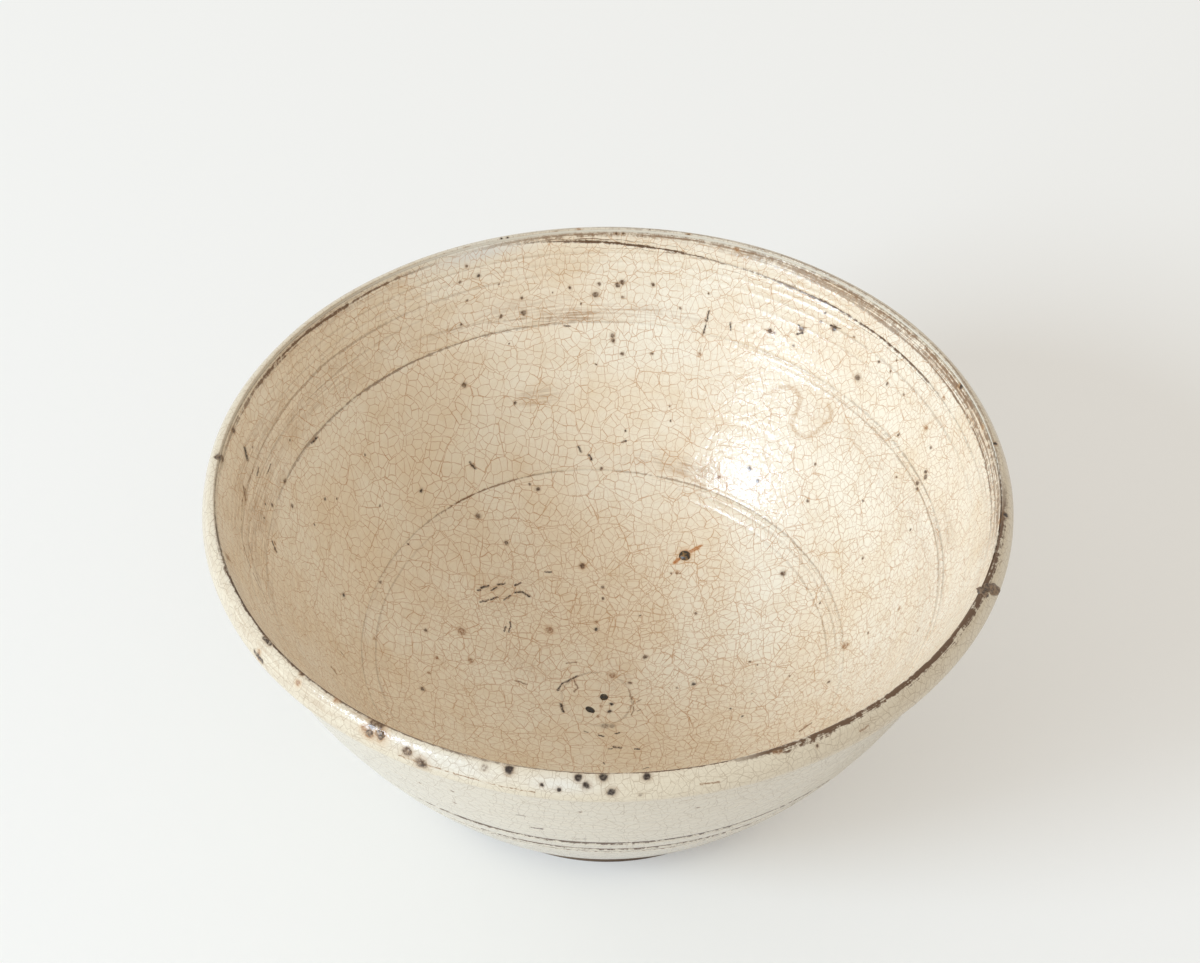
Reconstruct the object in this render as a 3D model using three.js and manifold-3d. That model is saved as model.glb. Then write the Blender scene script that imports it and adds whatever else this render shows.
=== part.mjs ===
import * as THREE from "three";
import { mergeVertices } from "three/addons/utils/BufferGeometryUtils.js";
import Module from "manifold-3d";

// A tea bowl thrown on the wheel: a clay body on a luted foot ring, an inside and an outside
// coat of crackled cream glaze that meet at a bare line on the lip, and the iron grains that
// came up through the glaze in the fire.
// Millimetres, +Z up. The origin is on the table under the centre of the foot.

// Overall form, measured on the glazed surface
const HEIGHT = 68.6;
const MOUTH_RADIUS = 74;
const TURNS = 54; // flat steps round the axis

// Foot ring, bare clay
const FOOT_RADIUS = 34.4;
const FOOT_HEIGHT = 4;
const FOOT_WALL = 6.4;
const FOOT_DRAFT = 0.7; // each side leans out by this much from the rest face to the joint
const FOOT_BEVEL = 0.6;

// Underside of the body, inside the foot ring
const RECESS_LIFT = 0.5; // the turned hollow rises this far above the joint
const RECESS_STEP = 1; // flat land between the ring and the hollow
const NUB_RADIUS = 4.2; // small turned point at the centre
const NUB_DROP = 0.4;

// Outer wall, from the edge over the foot to the neck under the lip
const SKIRT_OVERHANG = 2.5;
const SKIRT_SHELF = 1.3; // bare shelf between the glaze and the foot ring
const SKIRT_ANGLE = 49; // degrees from level, as all angles here
const NECK_DROP = 9.6; // below the crest of the lip
const NECK_INSET = 4; // inside the mouth's widest circle
const NECK_ANGLE = 71;
const WALL_PULL_LOW = 31; // lengths of the handles that bend the curve
const WALL_PULL_HIGH = 18;

// Lip, a rounded roll that turns outwards
const LIP_DROP = 4; // the widest circle lies this far below the crest
const LIP_ROLL = 1.7; // and this far outside it
const LIP_PULL = 2.4;

// Inner wall: a ledge under the lip, the edge of the well, and the floor of the well
const LEDGE_HEIGHT = 51;
const LEDGE_WALL = 3.7;
const WELL_HEIGHT = 24.7;
const WELL_WALL = 6.1;
const FLOOR = 3.2; // clay under the centre of the well
const LIP_ANGLE = 66;
const LEDGE_ANGLE = 61;
const WELL_TOP_ANGLE = 50;
const WELL_ANGLE = 34;
const WELL_PULL = 20;
const INNER_PULL = 7;

// Lines turned into the surface, each at a height or at a radius
const FOOT_LINES = [
  { height: 36.9, width: 1.1, depth: 0.4 },
  { height: 31.9, width: 1.1, depth: 0.4 },
];
const LIP_LINE = { height: HEIGHT - 2.2, width: 0.9, depth: 0.25 };
const LEDGE_LINE = { height: LEDGE_HEIGHT, width: 2, depth: 0.4 };
const WELL_LINE = { height: WELL_HEIGHT, width: 2, depth: 0.35 };
const CENTRE_LINE = { radius: 7, width: 1.6, depth: 0.3 };

// Glaze
const GLAZE = 0.8;
const GLAZE_EDGE = 0.25; // where a coat thins out on the lip
const GLAZE_SEAT = 0.03; // kept between a coat and the clay, whose facets would cross otherwise
const BARE_LINE = 0.7; // clay left bare between the two coats

// Drift of the hand on the wheel, greatest at the mouth and none at the foot
const MOUTH_OVAL = 0.48;
const MOUTH_TILT = 1.6; // the lip stands this much higher in front and lower behind

// Iron grains on the inside glaze: where each lies, and its size up the slope and across it
const GRAIN_GAP = 0.2;
const GRAIN_DEPTH = 0.8;
const GRAINS = [
  { name: "well_grain_large", radius: 0.6, azimuth: -116, up: 1.6, across: 1.7 },
  { name: "well_grain_small", radius: 4.9, azimuth: -127, up: 1.3, across: 2.1 },
  { name: "wall_iron_bead", radius: 34, azimuth: 63, up: 2.1, across: 2.4 },
];

const creamGlaze = { color: 0xe2d8c0, roughness: 0.22, metalness: 0 };
const stoneware = { color: 0x6b5a4a, roughness: 0.85, metalness: 0 };
const ironGlass = { color: 0x2c261c, roughness: 0.3, metalness: 0 };

const wasm = await Module();
wasm.setup();

const { degToRad, smoothstep } = THREE.MathUtils;
const UP = new THREE.Vector3(0, 0, 1);
const at = (radius, height) => new THREE.Vector2(radius, height);
const heading = (degrees) => at(Math.cos(degToRad(degrees)), Math.sin(degToRad(degrees)));
const down = (degrees) => heading(degrees + 180);

// A curve between two points that leaves and arrives along the given headings.
function sweep(start, leave, end, arrive, pull, endPull = pull) {
  const first = start.clone().addScaledVector(leave, pull);
  const second = end.clone().addScaledVector(arrive, -endPull);
  return new THREE.CubicBezierCurve(start, first, second, end);
}

// How far along a curve, from 0 to 1, its radius (x) or its height (y) takes a value.
function whereIs(curve, axis, value) {
  const grows = curve.getPointAt(1)[axis] > curve.getPointAt(0)[axis];
  let low = 0;
  let high = 1;
  for (let i = 0; i < 40; i++) {
    const middle = (low + high) / 2;
    const before = curve.getPointAt(middle)[axis] < value;
    if (before === grows) low = middle;
    else high = middle;
  }
  return (low + high) / 2;
}

// Points along a curve with the normal that looks away from the clay. Each turned line adds
// its two edges and its bottom, and takes the place of the plain steps next to it.
function trace(curve, steps, lines = []) {
  const cuts = lines.map((line) => ({
    along: line.radius ? whereIs(curve, "x", line.radius) : whereIs(curve, "y", line.height),
    reach: line.width / 2 / curve.getLength(),
    depth: line.depth,
  }));
  const stops = cuts.flatMap(({ along, reach, depth }) => [
    { along: along - reach, sink: 0 },
    { along, sink: depth },
    { along: along + reach, sink: 0 },
  ]);
  for (let i = 0; i <= steps; i++) {
    const along = i / steps;
    if (cuts.every((cut) => Math.abs(cut.along - along) > 1.6 * cut.reach)) stops.push({ along, sink: 0 });
  }
  return stops
    .filter(({ along }) => along >= 0 && along <= 1)
    .sort((a, b) => a.along - b.along)
    .map(({ along, sink }) => {
      const tangent = curve.getTangentAt(along);
      const normal = at(tangent.y, -tangent.x);
      return { skin: curve.getPointAt(along).addScaledVector(normal, -sink), normal };
    });
}

// The outer wall and the lip, traced upwards
const skirt = at(FOOT_RADIUS + SKIRT_OVERHANG, FOOT_HEIGHT);
const neck = at(MOUTH_RADIUS - NECK_INSET, HEIGHT - NECK_DROP);
const widest = at(MOUTH_RADIUS, HEIGHT - LIP_DROP);
const crest = at(MOUTH_RADIUS - LIP_ROLL, HEIGHT);
const skirtWay = heading(SKIRT_ANGLE);
const neckWay = heading(NECK_ANGLE);
const outerWall = sweep(skirt, skirtWay, neck, neckWay, WALL_PULL_LOW, WALL_PULL_HIGH);
const underLip = sweep(neck, neckWay, widest, heading(90), LIP_PULL);
const lipRoll = new THREE.EllipseCurve(crest.x, widest.y, LIP_ROLL, LIP_DROP, 0, Math.PI / 2);
const outside = [
  ...trace(outerWall, 6, FOOT_LINES),
  ...trace(underLip, 2).slice(1),
  ...trace(lipRoll, 3).slice(1),
];

// The inner wall and the well, traced downwards, a wall's thickness inside the outer wall
const innerPoint = (height, wall) =>
  at(outerWall.getPointAt(whereIs(outerWall, "y", height)).x - wall, height);
const bareEnd = crest.clone().addScaledVector(down(LIP_ANGLE), BARE_LINE);
const ledge = innerPoint(LEDGE_HEIGHT, LEDGE_WALL);
const wellEdge = innerPoint(WELL_HEIGHT, WELL_WALL);
const wellCentre = at(0, FOOT_HEIGHT + RECESS_LIFT + FLOOR + GLAZE);
const upperWall = sweep(bareEnd, down(LIP_ANGLE), ledge, down(LEDGE_ANGLE), INNER_PULL);
const middleWall = sweep(ledge, down(LEDGE_ANGLE), wellEdge, down(WELL_TOP_ANGLE), INNER_PULL);
const wellFloor = sweep(wellEdge, down(WELL_ANGLE), wellCentre, down(0), WELL_PULL);
const inside = [
  ...trace(upperWall, 3, [LIP_LINE, LEDGE_LINE]),
  ...trace(middleWall, 3, [LEDGE_LINE, WELL_LINE]).slice(1),
  ...trace(wellFloor, 5, [WELL_LINE, CENTRE_LINE]).slice(1),
];

// The wheel's drift: the mouth is a little oval, and its lip isn't quite level.
function handThrown(point) {
  const rise = smoothstep(point.z, FOOT_HEIGHT, HEIGHT);
  const azimuth = Math.atan2(point.y, point.x);
  const oval = 1 + (rise * MOUTH_OVAL * Math.sin(2 * azimuth)) / MOUTH_RADIUS;
  const tilt = (rise * MOUTH_TILT * point.y) / MOUTH_RADIUS;
  return new THREE.Vector3(point.x * oval, point.y * oval, point.z - tilt);
}

// An outline turned round the axis. It runs anticlockwise, and closes on itself or on the axis.
// Each flat step is split from its lower end, whichever way the outline runs, so that two pieces
// that share a stretch of outline share its triangles too.
function turned(outline) {
  const rings = outline.map(({ x, y }) => ({
    onAxis: x === 0,
    points: Array.from({ length: x === 0 ? 1 : TURNS }, (_, step) => {
      const azimuth = (2 * Math.PI * step) / TURNS;
      return handThrown(new THREE.Vector3(x * Math.cos(azimuth), x * Math.sin(azimuth), y));
    }),
  }));
  const corners = [];
  rings.forEach((from, index) => {
    const to = rings[(index + 1) % rings.length];
    if (from.onAxis && to.onAxis) return;
    const start = outline[index];
    const end = outline[(index + 1) % outline.length];
    const climbs = start.y < end.y || (start.y === end.y && start.x < end.x);
    for (let step = 0; step < TURNS; step++) {
      const next = (step + 1) % TURNS;
      const a = from.points[step % from.points.length];
      const b = from.points[next % from.points.length];
      const c = to.points[next % to.points.length];
      const d = to.points[step % to.points.length];
      if (from.onAxis) corners.push(a, c, d);
      else if (to.onAxis) corners.push(a, b, c);
      else if (climbs) corners.push(a, b, c, a, c, d);
      else corners.push(a, b, d, b, c, d);
    }
  });
  return new THREE.BufferGeometry().setFromPoints(corners);
}

// A closed geometry as a solid that can be cut.
function solid(geometry) {
  const plain = geometry.clone();
  plain.deleteAttribute("normal");
  plain.deleteAttribute("uv");
  const merged = mergeVertices(plain);
  const triVerts = new Uint32Array(merged.index.array);
  const vertProperties = merged.getAttribute("position").array;
  return new wasm.Manifold(new wasm.Mesh({ numProp: 3, vertProperties, triVerts }));
}

function cutBy(geometry, tools) {
  const cut = tools.reduce((rest, tool) => rest.subtract(solid(tool)), solid(geometry)).getMesh();
  const result = new THREE.BufferGeometry();
  result.setAttribute("position", new THREE.BufferAttribute(cut.vertProperties, 3));
  result.setIndex(new THREE.BufferAttribute(cut.triVerts, 1));
  return result;
}

function piece(name, geometry, finish) {
  const lit = geometry.clone();
  lit.computeVertexNormals();
  const mesh = new THREE.Mesh(lit, new THREE.MeshStandardMaterial(finish));
  mesh.name = name;
  return mesh;
}

// The line a depth below a coat's skin, which is less deep where the coat thins out on the lip.
function below(coat, lipStop, seat = 0) {
  return coat.map((stop) => {
    const depth = (stop === lipStop ? GLAZE_EDGE : GLAZE) - seat;
    const point = stop.skin.clone().addScaledVector(stop.normal, -depth);
    return at(stop.skin.x > 0 ? point.x : 0, point.y);
  });
}
const outsideLip = outside[outside.length - 1];
const insideLip = inside[0];

function bowlBody() {
  const ringInside = FOOT_RADIUS - FOOT_WALL - FOOT_DRAFT;
  const ceiling = FOOT_HEIGHT + RECESS_LIFT;
  const underside = [
    at(0, ceiling - NUB_DROP),
    at(NUB_RADIUS / 2, ceiling - NUB_DROP / 2),
    at(NUB_RADIUS, ceiling),
    at(ringInside - RECESS_STEP - RECESS_LIFT, ceiling),
    at(ringInside - RECESS_STEP, FOOT_HEIGHT),
    at(skirt.x - SKIRT_SHELF, FOOT_HEIGHT),
  ];
  const walls = [...below(outside, outsideLip), ...below(inside, insideLip)];
  return piece("bowl_body", turned([...underside, ...walls]), stoneware);
}

function footRing() {
  const inner = FOOT_RADIUS - FOOT_WALL;
  const outline = [
    at(inner + FOOT_BEVEL, 0),
    at(FOOT_RADIUS - FOOT_BEVEL, 0),
    at(FOOT_RADIUS, FOOT_BEVEL),
    at(FOOT_RADIUS + FOOT_DRAFT, FOOT_HEIGHT),
    at(inner - FOOT_DRAFT, FOOT_HEIGHT),
    at(inner, FOOT_BEVEL),
  ];
  return piece("foot_ring", turned(outline), stoneware);
}

// A grain, sunk to its middle in the inside glaze, or the larger socket that it lies in.
function grain({ radius, azimuth, up, across }, growth = 0) {
  const shape = new THREE.SphereGeometry(0.5, 10, 6);
  shape.rotateX(Math.PI / 2);
  shape.scale(up + growth, across + growth, GRAIN_DEPTH + growth);
  const lower = inside.findIndex(({ skin }) => skin.x <= radius);
  const outer = inside[lower - 1].skin;
  const inner = inside[lower].skin;
  const share = (outer.x - radius) / (outer.x - inner.x);
  const spot = outer.clone().lerp(inner, share);
  shape.rotateY(-Math.atan2(outer.y - inner.y, outer.x - inner.x));
  shape.rotateZ(degToRad(azimuth));
  const level = new THREE.Vector3(spot.x, 0, spot.y);
  const seat = handThrown(level.applyAxisAngle(UP, degToRad(azimuth)));
  return shape.translate(seat.x, seat.y, seat.z);
}

function insideGlaze() {
  const coat = [...inside.map(({ skin }) => skin), ...below(inside, insideLip, GLAZE_SEAT).reverse()];
  const sockets = GRAINS.map((spot) => grain(spot, 2 * GRAIN_GAP));
  return piece("inside_glaze", cutBy(turned(coat), sockets), creamGlaze);
}

function outsideGlaze() {
  const coat = [...outside.map(({ skin }) => skin), ...below(outside, outsideLip, GLAZE_SEAT).reverse()];
  return piece("outside_glaze", turned(coat), creamGlaze);
}

const bowl = new THREE.Group();
bowl.add(bowlBody(), footRing(), insideGlaze(), outsideGlaze());
for (const spot of GRAINS) bowl.add(piece(spot.name, grain(spot), ironGlass));

export default bowl;
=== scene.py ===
# %% [markdown]
# # A crackle-glazed tea bowl
# The bowl was thrown on a wheel, turned when it was leather-hard, and dipped in a cream glaze that
# crazed as it cooled. Nearly all of its form comes from one outline turned round an axis, and
# nearly all of its look comes from the glaze: a net of stained cracks, lines where a tool pressed
# into the clay, and iron specks that melted and came up through the coat.

# %% Load the fixed frame
import math

import bpy
import numpy as np
from mathutils import Matrix, Vector, noise
from mathutils.geometry import interpolate_bezier


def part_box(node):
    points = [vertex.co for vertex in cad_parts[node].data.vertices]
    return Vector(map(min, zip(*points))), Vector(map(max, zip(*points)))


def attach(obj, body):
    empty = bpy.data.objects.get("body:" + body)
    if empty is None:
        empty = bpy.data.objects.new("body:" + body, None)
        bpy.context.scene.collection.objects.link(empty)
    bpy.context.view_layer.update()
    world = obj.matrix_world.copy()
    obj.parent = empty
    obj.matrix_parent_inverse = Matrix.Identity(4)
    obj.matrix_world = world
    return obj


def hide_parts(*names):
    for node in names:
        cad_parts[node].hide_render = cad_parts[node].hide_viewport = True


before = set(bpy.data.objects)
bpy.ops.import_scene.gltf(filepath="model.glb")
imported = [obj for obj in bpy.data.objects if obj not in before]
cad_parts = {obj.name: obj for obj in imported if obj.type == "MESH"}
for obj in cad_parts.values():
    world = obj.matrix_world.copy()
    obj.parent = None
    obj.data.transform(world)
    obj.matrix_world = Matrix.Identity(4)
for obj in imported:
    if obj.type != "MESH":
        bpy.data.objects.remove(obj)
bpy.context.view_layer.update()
bpy.ops.object.select_all(action="DESELECT")
MM = 0.001
print("frame nodes:", sorted(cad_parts))

# %% [markdown]
# ## The camera
# The photograph was taken from in front and above, through a long lens. The bowl's round rings
# show as ovals in it, and their widths and heights fix where the lens stood: half-way between
# level and straight down, a little over 0.6 m from the mouth.

# %% Camera
PHOTO_WIDTH, PHOTO_HEIGHT = 1200, 963
FOCAL_PIXELS = 3300
LOOK_DOWN = math.radians(44.93)
CAMERA_ROLL = math.radians(0.99)
AIM = Vector((-1.8, 0, 67.5)) * MM
DISTANCE = 603.9 * MM
SENSOR = 36

backwards = Vector((0, -math.cos(LOOK_DOWN), math.sin(LOOK_DOWN)))
side = Vector((1, 0, 0))
up = backwards.cross(side)
right = math.cos(CAMERA_ROLL) * side + math.sin(CAMERA_ROLL) * up
top = backwards.cross(right)
bpy.ops.object.camera_add(location=AIM + DISTANCE * backwards)
camera = bpy.context.object
camera.name = "camera"
camera.rotation_euler = Matrix((right, top, backwards)).transposed().to_euler()
camera.data.sensor_width = SENSOR
camera.data.lens = FOCAL_PIXELS / PHOTO_WIDTH * SENSOR
camera.data.clip_start = 0.01
bpy.context.scene.camera = camera
print("lens", camera.data.lens, "mm")


def sight(x, y):
    """The way from the camera through a pixel of the photograph."""
    across = (x - PHOTO_WIDTH / 2) / FOCAL_PIXELS
    upwards = (PHOTO_HEIGHT / 2 - y) / FOCAL_PIXELS
    return (across * right + upwards * top - backwards).normalized()


# %% [markdown]
# ## Helpers for finishes
# A material is a small tree of nodes. One helper adds a node with its inputs and its settings and
# hands back the socket that the next node needs, so that a tree reads like a formula. Another
# turns a colour as a painter names it, in sRGB hex, into the linear values that light needs. The
# last two start a material and hand its shader to the output.

# %% Node helper and colours


def add(tree, kind, inputs=(), out=None, **settings):
    """Adds a node, with its inputs by name or in order, and returns the socket to use next."""
    node = tree.nodes.new("ShaderNode" + kind)
    for name, value in settings.items():
        setattr(node, name, value)
    sockets = [socket for socket in node.inputs if socket.enabled]
    if isinstance(inputs, dict):
        first_of_name = {socket.name: socket for socket in reversed(sockets)}
        chosen = [(first_of_name[name], value) for name, value in inputs.items()]
    else:
        chosen = zip(sockets, inputs)
    for socket, value in chosen:
        if isinstance(value, bpy.types.NodeSocket):
            tree.links.new(value, socket)
        else:
            socket.default_value = value
    return node.outputs[out] if out else next(s for s in node.outputs if s.enabled)


def colour(code):
    """A colour in sRGB hex as the linear values that light needs."""
    channels = [int(code[i : i + 2], 16) / 255 for i in (0, 2, 4)]
    linear = [c / 12.92 if c <= 0.04045 else ((c + 0.055) / 1.055) ** 2.4 for c in channels]
    return (*linear, 1)


def new_material(name):
    material = bpy.data.materials.new(name)
    material.use_nodes = True
    material.node_tree.nodes.clear()
    return material, material.node_tree


def finish_with(tree, shader):
    tree.links.new(shader, tree.nodes.new("ShaderNodeOutputMaterial").inputs["Surface"])


print("cream in linear light:", [round(c, 3) for c in colour("f2e9d5")])


# %% [markdown]
# ## Floor and light
# The bowl stands on white paper. A large soft lamp stands on the left and a little in front: it
# throws the long shadow to the right, leaves the near left of the inside in its own shade, and
# shows as the bright patch on the far wall. A weak strip below it draws that patch out upwards.
# The white room fills in the rest.

# %% Floor, room and lamp
PAPER = "f4f3ef"
LAMP_AZIMUTH = math.radians(-150)
LAMP_HEIGHT = math.radians(31)
LAMP_DISTANCE = 2.0
LAMP_SIZE = 0.7
LAMP_WATTS = 26.0
LAMP_TINT = (0.68, 0.83, 1.0)
STRIP_AZIMUTH = math.radians(-140)
STRIP_HEIGHT = math.radians(21)
STRIP_SIZE = (0.3, 0.75)
STRIP_WATTS = 8.0
ROOM_LEVEL = 0.7
ROOM_TINT = (1.0, 0.95, 0.885, 1)
SHADOW_SHARE = 0.7  # of the floor's own shading that the camera sees; the rest is plain white
FLOOR_SIZE = 6

bpy.ops.mesh.primitive_plane_add(size=FLOOR_SIZE)
floor = bpy.context.object
floor.name = "floor"
paper, tree = new_material("white_paper")
shaded = add(tree, "BsdfDiffuse", {"Color": colour(PAPER)})
plain = add(tree, "Emission", {"Color": colour(PAPER), "Strength": 1.0})
seen = add(tree, "LightPath", out="Is Camera Ray")
share = add(tree, "Math", [seen, 1 - SHADOW_SHARE], operation="MULTIPLY")
finish_with(tree, add(tree, "MixShader", [share, shaded, plain]))
floor.data.materials.append(paper)

world = bpy.data.worlds.new("white_room")
world.use_nodes = True
world.node_tree.nodes["Background"].inputs["Color"].default_value = ROOM_TINT
world.node_tree.nodes["Background"].inputs["Strength"].default_value = ROOM_LEVEL
bpy.context.scene.world = world

MOUTH = Vector((0, 0, 60)) * MM


def soft_lamp(name, azimuth, height, shape, size, watts):
    """A lamp aimed at the mouth of the bowl, from an azimuth (0 right, 90 away) and a height."""
    way = Matrix.Rotation(azimuth, 3, "Z") @ Matrix.Rotation(-height, 3, "Y") @ Vector((1, 0, 0))
    bpy.ops.object.light_add(type="AREA", location=MOUTH + LAMP_DISTANCE * way)
    lamp = bpy.context.object
    lamp.name = name
    lamp.rotation_euler = way.to_track_quat("Z", "Y").to_euler()
    lamp.data.shape = shape
    lamp.data.size, lamp.data.size_y = size
    lamp.data.energy = watts
    lamp.data.color = LAMP_TINT
    print(name, [round(c, 2) for c in lamp.location])


soft_lamp("soft_lamp", LAMP_AZIMUTH, LAMP_HEIGHT, "DISK", (LAMP_SIZE, LAMP_SIZE), LAMP_WATTS)
soft_lamp("low_strip", STRIP_AZIMUTH, STRIP_HEIGHT, "RECTANGLE", STRIP_SIZE, STRIP_WATTS)
bpy.context.scene.view_settings.view_transform = "Standard"

# %% [markdown]
# ## The outline of a thrown bowl
# A potter's bowl is a profile that goes once round the wheel. The profile is drawn here as a few
# Bezier sweeps between the places that matter: the edge over the foot, the neck, the widest part
# of the lip, its crest, the ledge, the edge of the well and the centre. Each sweep leaves and
# arrives at a chosen slope, as a rib held against the clay does.

# %% Measures of the bowl, in millimetres
HEIGHT = 68.6
MOUTH_RADIUS = 74
MOUTH_OVAL = 0.48
MOUTH_TILT = 1.6
MOUTH_SPREAD = 0.4  # a little wider on the left
foot_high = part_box("foot_ring")[1] / MM
FOOT_HEIGHT = foot_high.z
GLAZE = 0.8
GLAZE_EDGE = 0.25  # how thin the coat is where it ends at the lip
THINNING = 4  # over how much of the wall it gets that thin
BARE_LINE = 0.7
BARE_SLOPE = 66  # degrees off level

SKIRT = Vector((36.9, FOOT_HEIGHT))
NECK = Vector((70, HEIGHT - 9.6))
WIDEST = Vector((MOUTH_RADIUS, HEIGHT - 4))
CREST = Vector((MOUTH_RADIUS - 2.4, HEIGHT))
LEDGE = Vector((63.37, 51))
WELL_EDGE = Vector((47.0, 24.7))
WELL_CENTRE = Vector((0, 8.5))


def heading(degrees):
    """The way that is so many degrees off level."""
    return Vector((math.cos(math.radians(degrees)), math.sin(math.radians(degrees))))


BARE_END = CREST - BARE_LINE * heading(BARE_SLOPE)
SWEEP_POINTS = 200
ROUND = 0.5523  # handle of a quarter circle, as a share of its radius


def sweep(start, leave, end, arrive, pull, end_pull=None):
    """A Bezier curve that leaves and arrives at the slopes given, with handles so long."""
    first = start + pull * heading(leave)
    second = end - (end_pull or pull) * heading(arrive)
    flat = [Vector((p.x, p.y, 0)) for p in (start, first, second, end)]
    return [p.xy for p in interpolate_bezier(*flat, SWEEP_POINTS)]


def joined(*sweeps):
    """One line from sweeps that share their end points."""
    return sweeps[0] + [point for part in sweeps[1:] for point in part[1:]]


outer_line = joined(
    sweep(SKIRT, 49, NECK, 71, 31, 18),
    sweep(NECK, 71, WIDEST, 90, 2.4),
    sweep(WIDEST, 90, CREST, 180, 4 * ROUND, 2.4 * ROUND),
)
inner_line = joined(
    sweep(BARE_END, BARE_SLOPE + 180, LEDGE, 61 + 180, 7),
    sweep(LEDGE, 61 + 180, WELL_EDGE, 50 + 180, 7),
    sweep(WELL_EDGE, 34 + 180, WELL_CENTRE, 180, 20),
)


def lengths(line):
    """How far along the line each of its points lies."""
    steps = [(b - a).length for a, b in zip(line, line[1:])]
    return np.concatenate([[0], np.cumsum(steps)])


OUTER_LENGTH = lengths(outer_line)[-1]
INNER_LENGTH = lengths(inner_line)[-1]
print("outer line", round(OUTER_LENGTH, 1), "mm, inner line", round(INNER_LENGTH, 1), "mm")

# %% [markdown]
# ## Turning it
# Each piece starts as a single vertex that is extruded from point to point, which draws the
# outline, and a Screw modifier then turns the outline round the axis, as the wheel does. Every
# vertex keeps a number, `from_lip`: its distance along the skin from the crest of the lip, in
# millimetres, positive inside the bowl and negative outside it. Tool marks and finishes are set
# out by it, as a potter would say that a line lies so far below the rim.

# %% Draw an outline and turn it
TURNS = 240
SKIN_STEP = 0.3
HIDDEN_STEP = 3
CLAY_STEP = 1
SEAM = 0.002 * MM  # points closer than this are one


def spaced(line, step):
    """The same line with even steps, and each point's distance along it."""
    along = lengths(line)
    count = max(2, round(along[-1] / step)) + 1
    stops = np.linspace(0, along[-1], count)
    x = np.interp(stops, along, [p.x for p in line])
    y = np.interp(stops, along, [p.y for p in line])
    return [Vector(p) for p in zip(x, y)], stops


def draw(name, outline, closed=True):
    """An outline in the plane of X and Z, drawn by extruding one vertex."""
    bpy.ops.mesh.primitive_plane_add(size=MM)
    obj = bpy.context.object
    obj.name = obj.data.name = name
    bpy.ops.object.mode_set(mode="EDIT")
    bpy.ops.mesh.merge(type="CENTER")
    here = Vector((0, 0, 0))
    for i, point in enumerate(outline):
        there = Vector((point.x, 0, point.y)) * MM
        if i == 0:
            bpy.ops.transform.translate(value=there)
        else:
            bpy.ops.mesh.extrude_region_move(TRANSFORM_OT_translate={"value": there - here})
        here = there
    bpy.ops.object.mode_set(mode="OBJECT")
    if closed:
        first = min(obj.data.vertices, key=lambda v: (v.co.xz / MM - outline[0]).length)
        last = min(obj.data.vertices, key=lambda v: (v.co.xz / MM - outline[-1]).length)
        for vertex in obj.data.vertices:
            vertex.select = vertex.index in (first.index, last.index)
        bpy.ops.object.mode_set(mode="EDIT")
        bpy.ops.mesh.edge_face_add()
        bpy.ops.object.mode_set(mode="OBJECT")
    return obj


def label(obj, name, outline, values):
    """Gives each vertex of a drawn outline the value of the point that it lies on."""
    where = np.array([(p.x, p.y) for p in outline])
    attribute = obj.data.attributes.new(name, "FLOAT", "POINT")
    for vertex in obj.data.vertices:
        nearest = np.argmin(((where - np.array(vertex.co.xz / MM)) ** 2).sum(1))
        attribute.data[vertex.index].value = values[nearest]


def turn(obj):
    """Turns a drawn outline round the axis and closes the seam."""
    screw = obj.modifiers.new("turn", "SCREW")
    screw.steps = screw.render_steps = TURNS
    screw.use_merge_vertices = True
    screw.merge_threshold = SEAM / 2
    bpy.ops.object.modifier_apply(modifier=screw.name)
    bpy.ops.object.mode_set(mode="EDIT")
    bpy.ops.mesh.select_all(action="SELECT")
    bpy.ops.mesh.remove_doubles(threshold=SEAM)
    bpy.ops.mesh.normals_make_consistent(inside=False)
    bpy.ops.mesh.faces_shade_smooth()
    bpy.ops.object.mode_set(mode="OBJECT")
    print(obj.name, len(obj.data.vertices), "vertices")
    return obj


# %% [markdown]
# ## Marks of the hand and of the tool
# No thrown bowl is perfectly round or level: this mouth is half a millimetre oval, and its rim
# rises 1.6 mm to the front and falls as much to the back. All the pieces take that same drift, so
# that they still fit. The lines are another matter, because each belongs to one face: they run
# round the bowl like a thread, a few degrees off level, and fade in and out. One list says where
# each one lies, how wide and deep it is, and how strongly clay slip and tea have stained it.

# %% Drift of the hand


def coordinates(obj):
    """The places of all vertices, in millimetres."""
    values = np.zeros(len(obj.data.vertices) * 3)
    obj.data.vertices.foreach_get("co", values)
    return values.reshape(-1, 3) / MM


def move_to(obj, points):
    obj.data.vertices.foreach_set("co", (points * MM).ravel())
    obj.data.update()


def drift(obj):
    """The oval and the tilt of the mouth, none at the foot and all of it at the lip."""
    points = coordinates(obj)
    share = np.clip((points[:, 2] - FOOT_HEIGHT) / (HEIGHT - FOOT_HEIGHT), 0, 1)
    rise = share * share * (3 - 2 * share)
    azimuth = np.arctan2(points[:, 1], points[:, 0])
    spread = MOUTH_OVAL * np.sin(2 * azimuth) + MOUTH_SPREAD * np.minimum(np.cos(azimuth), 0) ** 2
    oval = 1 + rise * spread / MOUTH_RADIUS
    tilt = rise * MOUTH_TILT * points[:, 1] / MOUTH_RADIUS
    points = np.stack([points[:, 0] * oval, points[:, 1] * oval, points[:, 2] - tilt], 1)
    move_to(obj, points)


print("the rim rises", MOUTH_TILT, "mm to the front")

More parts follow.
